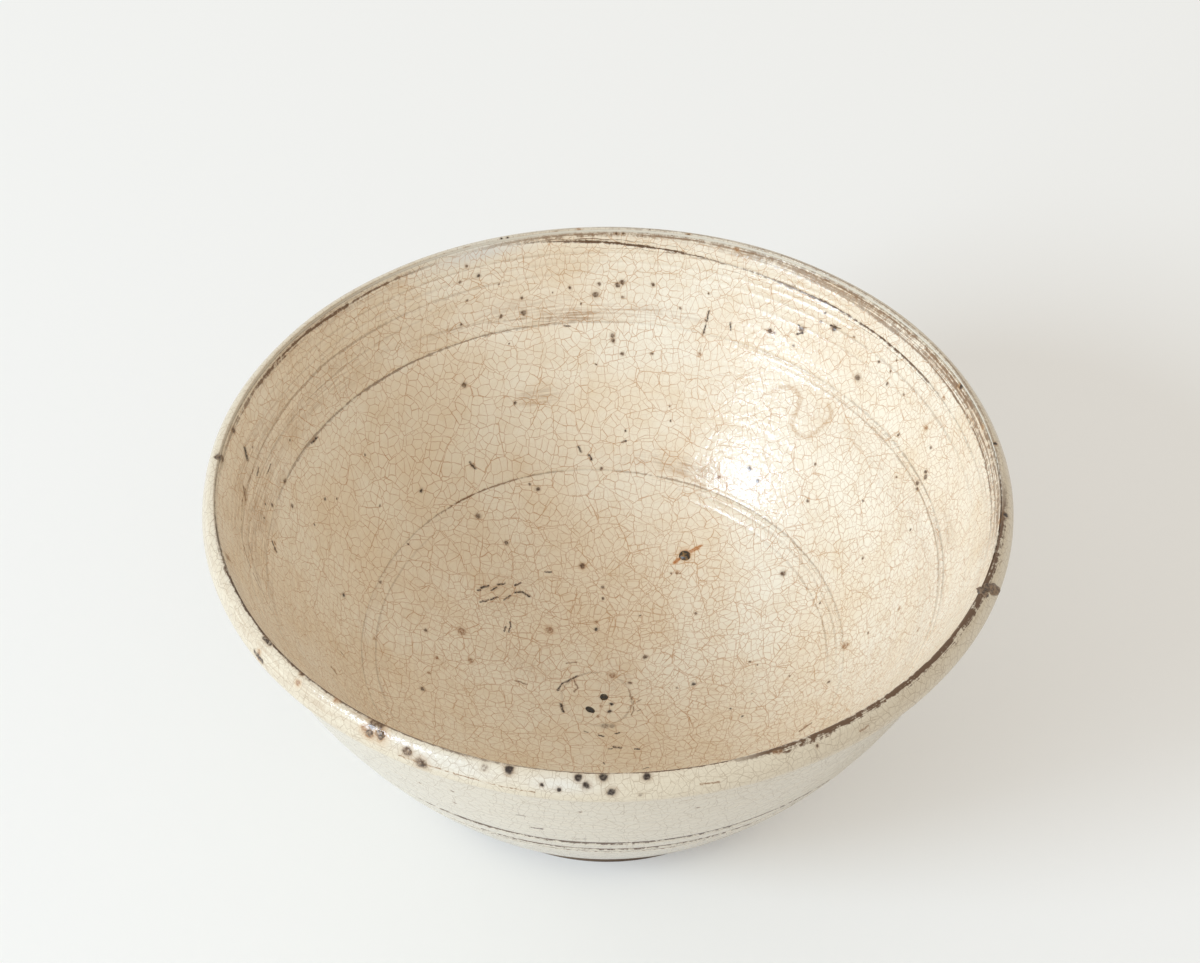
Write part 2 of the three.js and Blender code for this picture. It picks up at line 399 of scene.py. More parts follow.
# %% Tool lines
# Each line: its width and depth in millimetres, how rusty its stain is, and its stops. Each stop:
# azimuth in degrees (0 right, 90 away, 180 left), millimetres from the crest of the lip (below 0
# is outside), how hard the tool pressed, and how dark the stain is.
LINES = {
    "lip_left_smear": (0.9, 0.1, 0.4, [
        (118, 0.9, 0.3, 0), (128, 0.9, 1, 0.9), (150, 0.8, 1, 1.2), (172, 0.7, 1, 0.6),
        (186, 0.6, 1, 0),
    ]),
    "lip_left": (0.6, 0.05, 0.2, [
        (188, 0.0, 1, 0), (200, -0.1, 1, 1), (230, -0.1, 1, 1), (258, 0.0, 1, 0.6),
    ]),
    "lip_front": (0.5, 0.05, 0.3, [
        (252, 0.0, 1, 0.6), (272, 0.0, 1, 0.9), (290, -0.1, 1, 1.2), (302, -0.3, 1, 1.5),
    ]),
    "lip_right": (1.7, 0.08, 0.25, [
        (-72, -0.1, 1, 0.5), (-66, -0.3, 1, 1.2), (-45, -0.4, 1, 1.8), (-25, -0.4, 1, 1.6),
        (-6, -0.2, 1, 1.0), (4, -0.1, 1, 0),
    ]),
    "lip_far_1": (0.9, 0.14, 0.5, [
        (-15, 1.6, 0.5, 0), (-6, 1.1, 1, 0.85), (12, 0.6, 1, 0.9), (40, 0.7, 1, 0.85),
        (60, 0.5, 1, 0.8), (100, 0.5, 0.8, 0.8), (118, 0.6, 0.5, 0),
    ]),
    "lip_far_edge": (0.6, 0.1, 0.45, [
        (-20, 0.3, 0.5, 0), (-8, 0.1, 1, 0.6), (20, -0.2, 1, 0.65), (60, -0.3, 1, 0.6),
        (95, -0.3, 0.8, 0.5), (110, -0.3, 0.5, 0),
    ]),
    "lip_far_2": (0.8, 0.14, 0.5, [
        (-14, 2.9, 0.5, 0), (-2, 2.1, 1, 0.75), (25, 1.7, 1, 0.8), (50, 1.3, 1, 0.6), (66, 1.0, 1, 0.6),
        (80, 0.8, 0.5, 0),
    ]),
    "lip_far_3": (0.7, 0.12, 0.45, [
        (-14, 4.2, 0.5, 0), (0, 3.4, 1, 0.9), (20, 2.9, 1, 0.9), (36, 2.5, 1, 0.7), (60, 1.8, 1, 0.5),
        (84, 1.1, 0.5, 0),
    ]),
    "spiral": (0.6, 0.3, 0.25, [
        (0, 5.9, 0.2, 0), (22, 5.8, 0.4, 0.4), (27, 5.7, 0.8, 0.8), (40, 5.3, 1, 1.1),
        (50, 5.0, 1, 1.1), (60, 4.8, 1, 0.8), (72, 4.1, 1, 0.8), (80, 3.3, 1, 1.2), (90, 2.4, 1, 1.2),
        (103, 1.2, 0.6, 0.7), (108, 0.9, 0, 0),
    ]),
    "shallow_1": (0.6, 0.1, 0.8, [
        (-5, 6.4, 0, 0), (20, 6.9, 1, 0), (55, 6.6, 2.2, 0.1), (90, 6.3, 0.8, 0.1),
        (120, 6.2, 0.6, 0.15), (150, 6.6, 1, 0.2), (165, 7.0, 0, 0),
    ]),
    "shallow_2": (0.7, 0.12, 0.75, [
        (0, 9.6, 0, 0), (28, 9.3, 1, 0.4), (48, 8.8, 1, 0.3), (70, 8.4, 1, 0), (95, 8.4, 0.6, 0.1),
        (144, 8.6, 1, 0.5), (160, 9.4, 1, 0.4), (186, 10.6, 1, 0.3), (194, 10.9, 0, 0),
    ]),
    "shallow_3": (0.6, 0.1, 0.8, [
        (18, 12.1, 0, 0), (40, 12.0, 1, 0.2), (75, 11.2, 0.8, 0), (120, 11.0, 0.5, 0.1),
        (150, 12.0, 0.8, 0.3), (185, 12.6, 1, 0.25), (200, 12.9, 0, 0),
    ]),
    "shallow_4": (0.6, 0.1, 0.85, [
        (40, 4.0, 0, 0), (60, 3.8, 2.2, 0), (88, 4.4, 0.9, 0.15), (110, 4.1, 1, 0.3),
        (150, 4.3, 1, 0.2), (165, 4.8, 0, 0),
    ]),
    "ledge": (0.6, 0.28, 0.45, [
        (-90, 19.0, 0.4, 0), (-60, 19.4, 0.5, 0), (-30, 20.4, 0.8, 0.15), (0, 20.6, 1, 0.3),
        (20, 20.4, 1, 0.5), (45, 20.0, 1, 0.3), (80, 19.2, 0.6, 0.1), (105, 18.7, 0.8, 0.5),
        (116, 18.6, 1, 0.7), (140, 18.6, 1, 0.7), (160, 18.7, 0.8, 0.6), (172, 18.9, 0.5, 0.2),
        (190, 19.2, 0.5, 0.1), (230, 18.9, 0.4, 0), (270, 19.0, 0.4, 0),
    ]),
    "ledge_lower": (0.6, 0.2, 0.8, [
        (-35, 22.2, 0, 0), (-15, 22.2, 1, 0.3), (5, 22.0, 1, 0.6), (30, 21.7, 1, 0.5),
        (45, 21.4, 0.8, 0.3), (60, 21.2, 0, 0),
    ]),
    "ledge_roll": (7.0, -0.25, 0, [
        (-60, 23.0, 0.3, 0), (0, 23.0, 0.7, 0), (50, 22.5, 1, 0), (90, 22.0, 0.7, 0),
        (200, 22.5, 0.5, 0), (300, 23.0, 0.3, 0),
    ]),
    "upper_spiral": (0.6, 0.1, 0.9, [
        (92, 18.4, 0, 0), (95, 18.1, 1, 0.5), (105, 17.0, 1, 0.5), (125, 14.7, 1, 0.2),
        (135, 13.7, 0, 0),
    ]),
    "well": (0.5, 0.22, 0.65, [
        (-90, 50.5, 0.6, 0), (-40, 51.6, 0.6, 0), (-10, 51.4, 0.9, 0.2), (10, 51.2, 1, 0.3),
        (35, 51.0, 1, 0.5), (80, 50.6, 0.9, 0.6), (97, 50.0, 1, 0.1), (110, 49.6, 1, 0.7),
        (130, 49.3, 1, 1), (140, 49.4, 1, 0.5), (150, 49.5, 1, 0.3), (175, 49.7, 0.8, 0.35),
        (200, 49.4, 0.8, 0.35), (225, 49.6, 0.6, 0.1), (270, 50.5, 0.6, 0),
    ]),
    "well_roll": (11.0, -0.6, 0, [(-90, 50.0, 0.5, 0), (60, 50.0, 1, 0), (270, 50.0, 0.5, 0)]),
    "well_ridge_1": (0.6, 0.13, 0.8, [
        (-12, 53.0, 0, 0), (10, 52.8, 0.8, 0.3), (60, 52.3, 1, 0.2), (90, 52.3, 0, 0),
    ]),
    "well_ridge_2": (0.6, 0.13, 0.8, [
        (-12, 55.0, 0, 0), (12, 54.9, 0.8, 0.5), (40, 54.6, 0.9, 0.2), (65, 54.3, 1, 0.1),
        (85, 54.3, 0, 0),
    ]),
    "well_ridge_3": (0.6, 0.1, 0.8, [
        (130, 52.0, 0, 0), (160, 52.6, 1, 0.3), (195, 52.9, 1, 0.3), (215, 53.0, 0, 0),
    ]),
    "centre": (0.6, 0.15, 0.75, [
        (-90, 92.4, 0.8, 0.2), (-45, 94.2, 1, 0.4), (0, 95.6, 1, 0.6), (45, 95.6, 1, 0.2),
        (90, 95.0, 0.6, 0.2), (140, 93.2, 0.8, 0.5), (180, 91.8, 0.4, 0.2), (225, 91.8, 0.6, 0.1),
        (270, 92.4, 0.8, 0.2),
    ]),
    "foot_upper": (1.3, 0.25, 0.15, [
        (-90, -35.8, 1, 3), (-30, -35.8, 1, 2.2), (30, -35.5, 0.8, 1), (90, -35.2, 0.6, 0.7),
        (150, -35.5, 0.8, 1), (210, -35.8, 1, 2.2), (270, -35.8, 1, 3),
    ]),
    "foot_lower": (1.3, 0.25, 0.2, [
        (-90, -41.5, 1, 3), (-30, -41.5, 1, 2), (30, -41.2, 0.7, 0.8), (90, -41.0, 0.5, 0.4),
        (150, -41.2, 0.7, 0.8), (210, -41.5, 1, 2), (270, -41.5, 1, 3),
    ]),
    "foot_lowest": (0.9, 0.2, 0.5, [
        (-90, -44.2, 1, 1.5), (0, -44.2, 0.6, 0.6), (40, -44.4, 0.3, 0), (140, -44.4, 0.3, 0),
        (180, -44.2, 0.6, 0.6), (270, -44.2, 1, 1.5),
    ]),
}

# %% Soft patches
# Azimuth and distance from the lip, how far the patch reaches each way, and its strength. They say
# where dirt lies, where shade is painted in, where the coat is frosted, where the finest cracks
# show, and where the lip is bare.
PATCHES = {
    "dirt_and_shade": [
        (172, 8, 20, 4, 0.6), (150, 13, 16, 4, 0.55), (178, 15, 18, 5, 0.75), (165, 17, 22, 1.6, 0.4),
        (140, 1.2, 24, 1.6, 0.6), (97, 17, 7, 1.8, 0.9), (114, 15.4, 14, 1.2, 0.5), (4, 18, 8, 2, 0.4),
        (-5, 20.8, 20, 1.6, 0.4), (70, 47.5, 14, 2, 0.7), (-45, 0.6, 26, 2.2, 0.4),
        (192, 19.5, 16, 2, 0.5), (105, 33.5, 5, 2, 0.6), (20, 1.8, 40, 1.6, 0.5),
        (60, 1.2, 34, 1.2, 0.45), (-8, 4.2, 14, 2.5, 0.45), (238, -1.2, 8, 1.6, 0.7),
        (60, 97, 60, 5, 0.35), (160, 84, 14, 6, 0.3), (135, 70, 14, 4, 0.3), (205, 2, 12, 3, 0.4),
        # The broad patch at 215 degrees is painted shade: a warm darkening of the near-left inside wall,
        # which lies in the lamp's shadow.
        (-75, -6, 22, 2, 0.25), (-50, -5, 20, 3, 0.3), (20, 26, 40, 4, 0.25), (215, 40, 75, 60, 0.16),
        (225, -2.5, 45, 3.5, 0.45), (105, 15, 10, 2.5, 0.45), (88, 16.6, 16, 1.4, 0.6),
    ],
    "frost": [
        (112, 1.3, 7, 1.6, 0.9), (80, -2, 30, 2, 0.5), (-96, -2.5, 5, 1.6, 0.6), (200, 1.5, 14, 2, 0.3),
        (250, -2.5, 8, 2, 0.5),
    ],
    "fine": [
        (-30, 40, 110, 60, 1), (20, 10, 60, 14, 0.8), (60, 80, 180, 26, 1), (-120, 40, 70, 50, 1),
        (150, 70, 70, 14, 0.8), (190, 40, 20, 20, 0.7),
    ],
    "bare": [
        (220, 0, 34, 9, 1), (-70, 0, 60, 9, 1), (-20, 0, 26, 9, 1),
    ],
}


def patches(name, azimuth, from_lip):
    """The strongest of the soft patches of one kind at each vertex."""
    total = np.zeros(len(azimuth))
    for there, along, reach, reach_along, strength in PATCHES[name]:
        away = (azimuth - there + 180) % 360 - 180
        spread = (away / reach) ** 2 + ((from_lip - along) / reach_along) ** 2
        total = np.maximum(total, strength * np.exp(-spread))
    return total


print(len(LINES), "lines and", sum(len(kind) for kind in PATCHES.values()), "patches")

# %% Press the lines and the throwing marks
# In half-widths of a line
FAR_OFF = 99.0
FARTHEST_STORED = 9
STAIN_REACH = 4
# In millimetres
RIDGE_HEIGHT, RIDGE_SPACING = 0.06, 2.2
FINE_HEIGHT, FINE_SPACING = 0.03, 0.8
SWELL_HEIGHT, SWELL_SIZE = 0.12, 21
CLIMB = 3  # of a ridge in half a turn
UNTOOLED = 1.5  # beside a coat's edges
RIDGE_BREAKS = 1.6  # radius of a turn in the noise: a larger one breaks a ridge up sooner


def press_lines(from_lip, azimuth):
    """How deep the lines lie at each vertex, and the nearest one's offset, stain and rust."""
    deep = np.zeros(len(from_lip))
    nearest = np.full(len(from_lip), FAR_OFF)
    stain = np.zeros(len(from_lip))
    rust = np.zeros(len(from_lip))
    for width, depth, rustiness, stops in LINES.values():
        stops = np.array(stops)
        turned = stops[0, 0] + (azimuth - stops[0, 0]) % 360
        crossed = turned <= stops[-1, 0]
        place, pressed, dark = (np.interp(turned, stops[:, 0], stops[:, k]) for k in (1, 2, 3))
        offset = (from_lip - place) / (width / 2)
        deep += np.where(crossed, pressed * depth * np.exp(-(offset**2)), 0)
        closer = crossed & (dark > 0) & (np.abs(offset) < np.abs(nearest))
        nearest = np.where(closer, offset, nearest)
        stain = np.where(closer, np.where(np.abs(offset) < STAIN_REACH, dark, 0), stain)
        rust = np.where(closer, rustiness, rust)
    return deep, np.clip(nearest, -FARTHEST_STORED, FARTHEST_STORED), stain, rust


def throwing_marks(points, from_lip, azimuth):
    """Low ridges left by fingers, which climb like a thread, and slow swells of the wall."""
    heights = np.zeros(len(points))
    turns = np.radians(azimuth)
    for i, (along, turn_at) in enumerate(zip(from_lip, turns)):
        climb = along + CLIMB * turn_at / math.pi
        way = Vector((RIDGE_BREAKS * math.cos(turn_at), RIDGE_BREAKS * math.sin(turn_at), 0))
        ridges = noise.noise(way + Vector((0, 0, climb / RIDGE_SPACING)))
        fine = noise.noise(2 * way + Vector((7, 3, climb / FINE_SPACING)))
        swell = noise.noise(Vector((*points[i] / SWELL_SIZE,)))
        heights[i] = RIDGE_HEIGHT * ridges + FINE_HEIGHT * fine + SWELL_HEIGHT * swell
    return heights


def store(obj, name, values, kind="FLOAT"):
    """Gives every vertex a number, or a vector, that a material can read by its name."""
    attribute = obj.data.attributes.new(name, kind, "POINT")
    field = "value" if kind == "FLOAT" else "vector"
    attribute.data.foreach_set(field, np.ascontiguousarray(values).ravel())


def stored(obj, name):
    values = np.zeros(len(obj.data.vertices))
    obj.data.attributes[name].data.foreach_get("value", values)
    return values


def tool(obj):
    """Presses the lines and the throwing marks into a coat's skin, and stores where they are."""
    points = coordinates(obj)
    from_lip = stored(obj, "from_lip")
    azimuth = np.degrees(np.arctan2(points[:, 1], points[:, 0]))
    normals = np.zeros(len(points) * 3)
    obj.data.vertex_normals.foreach_get("vector", normals)
    deep, offset, stain, rust = press_lines(from_lip, azimuth)
    rise = throwing_marks(points, from_lip, azimuth)
    from_edge = np.minimum(np.abs(from_lip), np.abs(from_lip + OUTER_LENGTH))
    free = stored(obj, "skin") * np.clip(from_edge / UNTOOLED, 0, 1)
    points += normals.reshape(-1, 3) * (free * (rise - deep))[:, None]
    move_to(obj, points)
    obj.data.attributes.remove(obj.data.attributes["skin"])
    store(obj, "line_offset", offset)
    store(obj, "line_stain", stain)
    store(obj, "line_rust", rust)
    # Patches of dirt and of painted shade, of frost and of the finest crackle
    for name in ("dirt_and_shade", "frost", "fine"):
        store(obj, name, patches(name, azimuth, from_lip))
    round_way = np.radians(azimuth)
    turning = np.stack([np.cos(round_way), np.sin(round_way), from_lip], 1)
    store(obj, "turning", turning, "FLOAT_VECTOR")
    print(obj.name, "lines up to", round(deep.max(), 2), "mm deep")


print("ridges every", RIDGE_SPACING, "mm and swells every", SWELL_SIZE, "mm")

# %% [markdown]
# ## The two coats of glaze
# The glaze is a skin of glass under a millimetre thick. The inside coat and the outside coat meet
# on the crest of the lip, where the melt ran off and left a thin bare line. Each coat is a closed
# solid: its skin has a fine mesh, because the lines are pressed into it, and the side that lies on
# the clay has a coarse one. For the crackle, every vertex also gets a place on a flat map of the
# coat, so that the cells keep their size from the lip down to the centre.

# %% Coats
ON_AXIS = 0.001  # mm, nearer than this is on the axis
NEAR_AXIS = 0.01  # mm, where a flat map has no stretch yet


def under(line, thin_first):
    """The line where the coat meets the clay: the coat thins out towards the lip."""
    along = lengths(line)
    from_thin = along if thin_first else along[-1] - along
    share = np.clip(from_thin / THINNING, 0, 1)
    depth = GLAZE_EDGE + (GLAZE - GLAZE_EDGE) * share * share * (3 - 2 * share)
    result = []
    for i, point in enumerate(line):
        way = (line[min(i + 1, len(line) - 1)] - line[max(i - 1, 0)]).normalized()
        below = point - float(depth[i]) * Vector((way.y, -way.x))
        result.append(Vector((0 if point.x < ON_AXIS else below.x, below.y)))
    return result


def flat_map(line, start_share):
    """Along a line that starts near the axis, the radius on a flat map of the surface."""
    along = lengths(line)
    radius = [max(p.x, ON_AXIS) for p in line]
    flat = [start_share * radius[0]]
    for i in range(1, len(line)):
        stretch = math.sqrt(flat[-1] / radius[i - 1]) if flat[-1] > NEAR_AXIS else 1
        flat.append(flat[-1] + stretch * (along[i] - along[i - 1]))
    return np.array(flat)


def coat(name, line, inside, start_share):
    """A closed coat from its line, which runs down from the lip inside and up to it outside."""
    skin, stops = spaced(line, SKIN_STEP)
    back = spaced(under(line, thin_first=inside), HIDDEN_STEP)[0]
    if inside:
        skin, from_lip = skin[::-1], stops[::-1]
    else:
        back, from_lip = back[::-1], stops - stops[-1]
    outline = skin + back
    from_lip = [*from_lip, *([0] * len(back))]
    obj = draw(name, outline, closed=not inside)
    label(obj, "from_lip", outline, from_lip)
    label(obj, "skin", outline, [1] * len(skin) + [0] * len(back))
    turn(obj)
    upwards = line[::-1] if inside else line
    along = lengths(line)[-1] - np.abs(stored(obj, "from_lip"))
    radius = np.interp(along, lengths(upwards), flat_map(upwards, start_share))
    points = coordinates(obj)
    way = points[:, :2] / np.maximum(np.hypot(points[:, 0], points[:, 1]), 1e-6)[:, None]
    flat = np.stack([way[:, 0] * radius, way[:, 1] * radius, 0 * radius], 1)
    store(obj, "glaze_map", flat, "FLOAT_VECTOR")
    tool(obj)
    drift(obj)
    return obj


glaze_inside = coat("glaze_inside", inner_line, inside=True, start_share=0)
glaze_outside = coat("glaze_outside", outer_line, inside=False, start_share=0.8)

# %% [markdown]
# ## The clay
# Under the glaze is dark stoneware. It shows on the crest of the lip, on the narrow shelf over
# the foot and on the foot ring itself, which was thrown apart and luted on. The hollow inside the
# foot was turned out with a loop tool that left a small point at the centre.

# %% Body and foot ring
RECESS_CEILING = FOOT_HEIGHT + 0.5
RECESS_EDGE = 26.3
NUB_RADIUS = 4.2
NUB = ((0, 0.4), (0.3, 0.34), (0.6, 0.12), (1, 0))  # share of its radius, then mm below the ceiling
RECESS_CORNER = ((1.5, 0), (0.4, 0.12))  # mm inside the edge, then below the ceiling
SHELF = 1.3
nub_and_hollow = [
    *(Vector((NUB_RADIUS * share, RECESS_CEILING - drop)) for share, drop in NUB),
    *(Vector((RECESS_EDGE - inside, RECESS_CEILING - drop)) for inside, drop in RECESS_CORNER),
    Vector((RECESS_EDGE, FOOT_HEIGHT)),
    Vector((SKIRT.x - SHELF, FOOT_HEIGHT)),
]
outer_clay = spaced(under(outer_line, thin_first=False), CLAY_STEP)[0]
inner_clay = spaced(under(inner_line, thin_first=True), CLAY_STEP)[0]
clay_body = turn(draw("clay_body", nub_and_hollow + outer_clay + inner_clay, closed=False))
points = coordinates(clay_body)
around = np.degrees(np.arctan2(points[:, 1], points[:, 0]))
bare_lip = patches("bare", around, 0 * around)
store(clay_body, "bare", np.where(points[:, 2] > NECK.y, bare_lip, 1))
drift(clay_body)


def arc(centre, radius, start, end, steps=4):
    angles = [math.radians(start + (end - start) * i / steps) for i in range(steps + 1)]
    return [centre + radius * Vector((math.cos(a), math.sin(a))) for a in angles]


FOOT_BEVEL = 0.6
FOOT_WALL = 6.4
FOOT_DRAFT = 0.15  # each side leans out by this much from the floor to the joint
foot_outer = foot_high.x - FOOT_DRAFT
foot_inner = foot_outer - FOOT_WALL
foot_outline = [
    *arc(Vector((foot_inner + FOOT_BEVEL, FOOT_BEVEL)), FOOT_BEVEL, 180, 270),
    *arc(Vector((foot_outer - FOOT_BEVEL, FOOT_BEVEL)), FOOT_BEVEL, 270, 360),
    Vector((foot_outer + FOOT_DRAFT, FOOT_HEIGHT)),
    Vector((foot_inner - FOOT_DRAFT, FOOT_HEIGHT)),
]
clay_foot = turn(draw("clay_foot", foot_outline))
store(clay_foot, "bare", np.ones(len(clay_foot.data.vertices)))

# %% [markdown]
# ## Setting marks by the photograph
# Iron specks have no rule: each one lies where a grain happened to be. Their places are read off
# the photograph, and a ray from the camera through that pixel finds the spot on the bowl that
# carries the speck.

# %% From a pixel to the surface
MM_PER_PIXEL = 0.182
SPOT_GROWTH = 1.05  # what the ragged edge takes away again
bpy.context.view_layer.update()


def on_photo(x, y):
    """The place and the normal of the surface under a pixel, on the nearer of the two coats."""
    hits = []
    for obj in (glaze_inside, glaze_outside):
        found, place, normal, _ = obj.ray_cast(camera.location, sight(x, y))
        if found:
            hits.append(((place - camera.location).length, place, normal))
    _, place, normal = min(hits, key=lambda hit: hit[0])
    return place.copy(), normal.copy()


middle = on_photo(PHOTO_WIDTH / 2, PHOTO_HEIGHT / 2)[0]
print("in the middle of the photograph:", [round(c / MM, 1) for c in middle])

# %% Specks and strokes
# Of each speck: x, y and radius in pixels of the photograph
DARK_SPOTS = [
    (578, 777.5, 3.4), (603, 777.4, 3.8), (647, 776.2, 3.6), (509, 769.4, 4.0), (596.4, 629.2, 1.9),
    (693.6, 683.9, 2.2), (611.6, 704, 1.9), (609.4, 711.2, 2.2), (834.6, 328, 2.8), (343.5, 595.2, 2.2),
    (586, 785.5, 3.4), (611.7, 792, 4), (542, 785, 2), (559, 789.5, 2.2), (501, 238.2, 1.5),
    (507.7, 238, 1.5), (264, 517.4, 1.1), (265.4, 504.4, 1.1), (625.5, 431, 1), (1005.5, 515, 3.2),
    (478.4, 275.6, 1.7), (325, 499, 1.4), (863, 501, 1.2), (995, 443.5, 2.2), (961, 387, 2.4),
    (421.3, 490.9, 2), (730.4, 708.8, 1.2), (742.4, 716.4, 1.3),
]
IRON_SPOTS = [
    (523.4, 312.7, 2.8), (595.5, 294.7, 3.4), (617.5, 284.8, 2.6), (622.5, 282.2, 2.8),
    (612.7, 335.8, 2.4), (613, 340.5, 2.4), (801.5, 329, 3), (857.6, 377.8, 3.4), (537.5, 488.8, 2.4),
    (601, 468.6, 1.6), (478, 515.8, 2.8), (506.4, 542.7, 2.4), (783, 573.2, 3), (602.9, 587.4, 1.6),
    (407, 751.5, 5), (421, 763.5, 5.8), (373, 724.5, 5), (381, 724.5, 4.6), (233.3, 430.3, 3.2),
    (616.5, 233.4, 1.6), (623.5, 233.7, 1.6), (688.4, 234.4, 1.8), (910.6, 529.8, 1.6),
    (925.5, 472, 2.4), (925.5, 477, 2.4), (917.3, 483, 2.4), (917.3, 489, 2.4), (898.7, 434.7, 1.8),
    (793.4, 345.7, 1.6), (770, 331, 2.4), (825, 313, 1.4), (821, 322, 1.4), (854, 337, 1.4),
    (460, 282.6, 1.6), (498.5, 284, 1.2), (522, 298, 1.6), (501, 316.4, 1.8), (570, 288, 1.8),
    (598.6, 284.3, 1.8), (622.6, 297, 1.5), (652.9, 284.6, 1.9), (622, 354, 1.9), (652, 354, 1.6),
    (596, 364.4, 1.2), (705.5, 320, 1.2), (515.3, 403, 1.8), (757.5, 481, 2), (749.5, 469, 2.4),
    (529.9, 484.5, 1.4), (807.8, 500.6, 1.8), (815.3, 464, 1.2), (879, 362, 1.4), (897, 360, 1.2),
    (890.7, 371.5, 1.4), (887, 384, 1.6), (904, 394, 1.3), (930.7, 447.7, 1.6), (896.5, 477, 1.4),
    (862.7, 558.2, 1.6), (695.7, 613.6, 1.6), (379.9, 505.9, 1.4), (292.3, 506.5, 2), (272, 505, 2.2),
    (284.6, 480.7, 2.4), (314.5, 524.5, 1.3), (380.6, 582.2, 1.8), (425.7, 630.3, 2),
    (422.4, 688.9, 2.6), (581.9, 565.7, 2.6), (602.9, 598.9, 1.6), (629.6, 683, 1.7), (868, 633, 1.4),
    (829, 681.6, 2), (789.5, 676, 1.2), (419.9, 783, 1.6), (452, 791, 1.6), (455, 803, 1.8),
    (580, 812, 1.6), (698, 807.6, 1.6), (817.5, 746, 1.6), (645, 657, 2.6), (466.5, 266, 1.8),
    (581, 303.7, 1.1), (464, 385, 2.6), (709, 294, 1.3), (669.7, 406, 1), (670.3, 420.5, 1),
    (461.6, 324.7, 1.6), (467, 300.5, 1.3), (509, 343.4, 1), (553, 292.4, 0.9), (681, 308.5, 1.2),
    (290, 440, 1.4), (253, 447, 1.2), (750, 662, 1.1), (757, 665, 1.1), (752, 693.6, 1.1),
    (677, 688, 1.2), (302, 674, 2.2), (337, 499, 1.1), (408, 544, 1.2), (365, 455, 1.1), (640, 616, 1),
    (671, 573, 1.1), (820, 603, 1.2),
]
RUST_SPOTS = [
    (677.5, 572.8, 1.8), (699.4, 354.4, 2.4), (596.6, 622, 2), (549.6, 630, 4), (582.8, 566, 3.4),
    (461.9, 631.4, 4.4), (471, 660.7, 3.4), (612.3, 675.9, 3.4), (845.3, 645.5, 4.4),
    (805.5, 726.5, 2.4), (369, 732.5, 6), (380.5, 735, 6.2), (364, 728, 4), (228.5, 558, 4.2),
    (259, 652, 2.6), (259, 659, 2.6), (298, 683, 3), (999, 522, 3), (718.5, 477, 2.4),
    (600.8, 706.2, 1.8), (598.2, 716, 1.8), (337, 700, 3), (275, 543, 2.2), (275, 550, 2.2),
    (428.9, 673, 2), (436.9, 657.9, 2), (374.5, 639, 2), (334.4, 669.8, 2.2), (314, 440, 2),
    (472.7, 465.5, 2.2), (898.8, 608.8, 2.4), (918, 630, 2.4), (926, 428, 2.6), (960, 386.4, 2.4),
    (982.9, 427.6, 2.4), (995.3, 443.5, 2.4), (943.7, 398, 2.2), (737, 249.5, 2.2), (688.4, 234, 2),
    (578.9, 228.6, 2),
]
GREY_SPOTS = [
    (484.5, 768, 3.4), (510.6, 770, 3.4), (640.6, 795, 2.6), (605, 726, 4), (245, 491, 3.4),
    (612, 726, 3), (220.4, 458, 6), (274, 643, 4), (259, 656, 4), (227, 557, 4),
]
# Half-width, then the pixels that the stroke runs through
DARK_STROKES = [
    (1.0, (558, 690), (562, 684), (569, 680), (577.6, 676)), (1.4, (560.8, 704), (563, 711.5)),
    (0.8, (584, 731.5), (588, 732.5)), (1.0, (599, 735), (603.5, 736)), (0.8, (615, 733.5), (619, 733)),
    (1.1, (613.5, 747), (621, 748)), (0.7, (608.5, 749), (612, 748.5)), (1.0, (635, 749), (639, 749.5)),
    (0.7, (643, 769), (648, 767.5)), (0.7, (603, 762.5), (604.5, 764)),
    (1.1, (311.5, 443), (317, 437.5)), (1.2, (258.5, 468), (257.5, 475)), (0.7, (267, 474), (271, 464)),
    (1.0, (564.8, 325.3), (570, 326)), (0.9, (799, 325), (802, 333)), (0.8, (801, 329), (806.5, 328)),
    (0.9, (797.4, 334), (803, 333.5)), (0.8, (830.6, 325.3), (840.3, 328.5)),
    (0.9, (834, 325), (833, 330)), (0.8, (730.4, 323), (730.8, 330)), (0.9, (709.5, 311), (703.5, 333)),
    (1.3, (470.5, 462.5), (475, 468.5)), (1.0, (622, 442.2), (626, 441)),
    (1.3, (578.5, 447), (581, 452)), (1.3, (589, 455), (591.5, 459.5)), (1.5, (532, 827.5), (542, 829)),
    (1.0, (518, 815), (524, 816)), (0.8, (575, 839), (585, 839)), (2.4, (255, 652), (262, 661)),
    (2.2, (264, 638), (270, 644.5)), (2.2, (244.5, 448), (247.5, 459)),
    (1.1, (272.5, 542), (276.5, 552)), (0.9, (477, 590), (480, 590)), (1.1, (481, 588), (489, 586)),
    (1.0, (498, 585), (505, 583)), (1.2, (515, 592), (523, 592), (529.6, 596.4)),
    (0.9, (491, 590), (497, 587.5)), (1.1, (504, 600), (510, 596)), (0.9, (491, 600), (498, 597)),
    (0.9, (480, 602), (488, 600)), (0.8, (515, 585), (521, 583)), (0.8, (545, 572), (551, 572)),
    (0.9, (510.4, 622), (510.6, 627)), (0.9, (505.5, 627), (504, 631)), (0.9, (510, 628), (508, 631.5)),
    (0.8, (649.7, 229.5), (649.7, 233)), (1.0, (672, 235.3), (679, 235.8)),
]
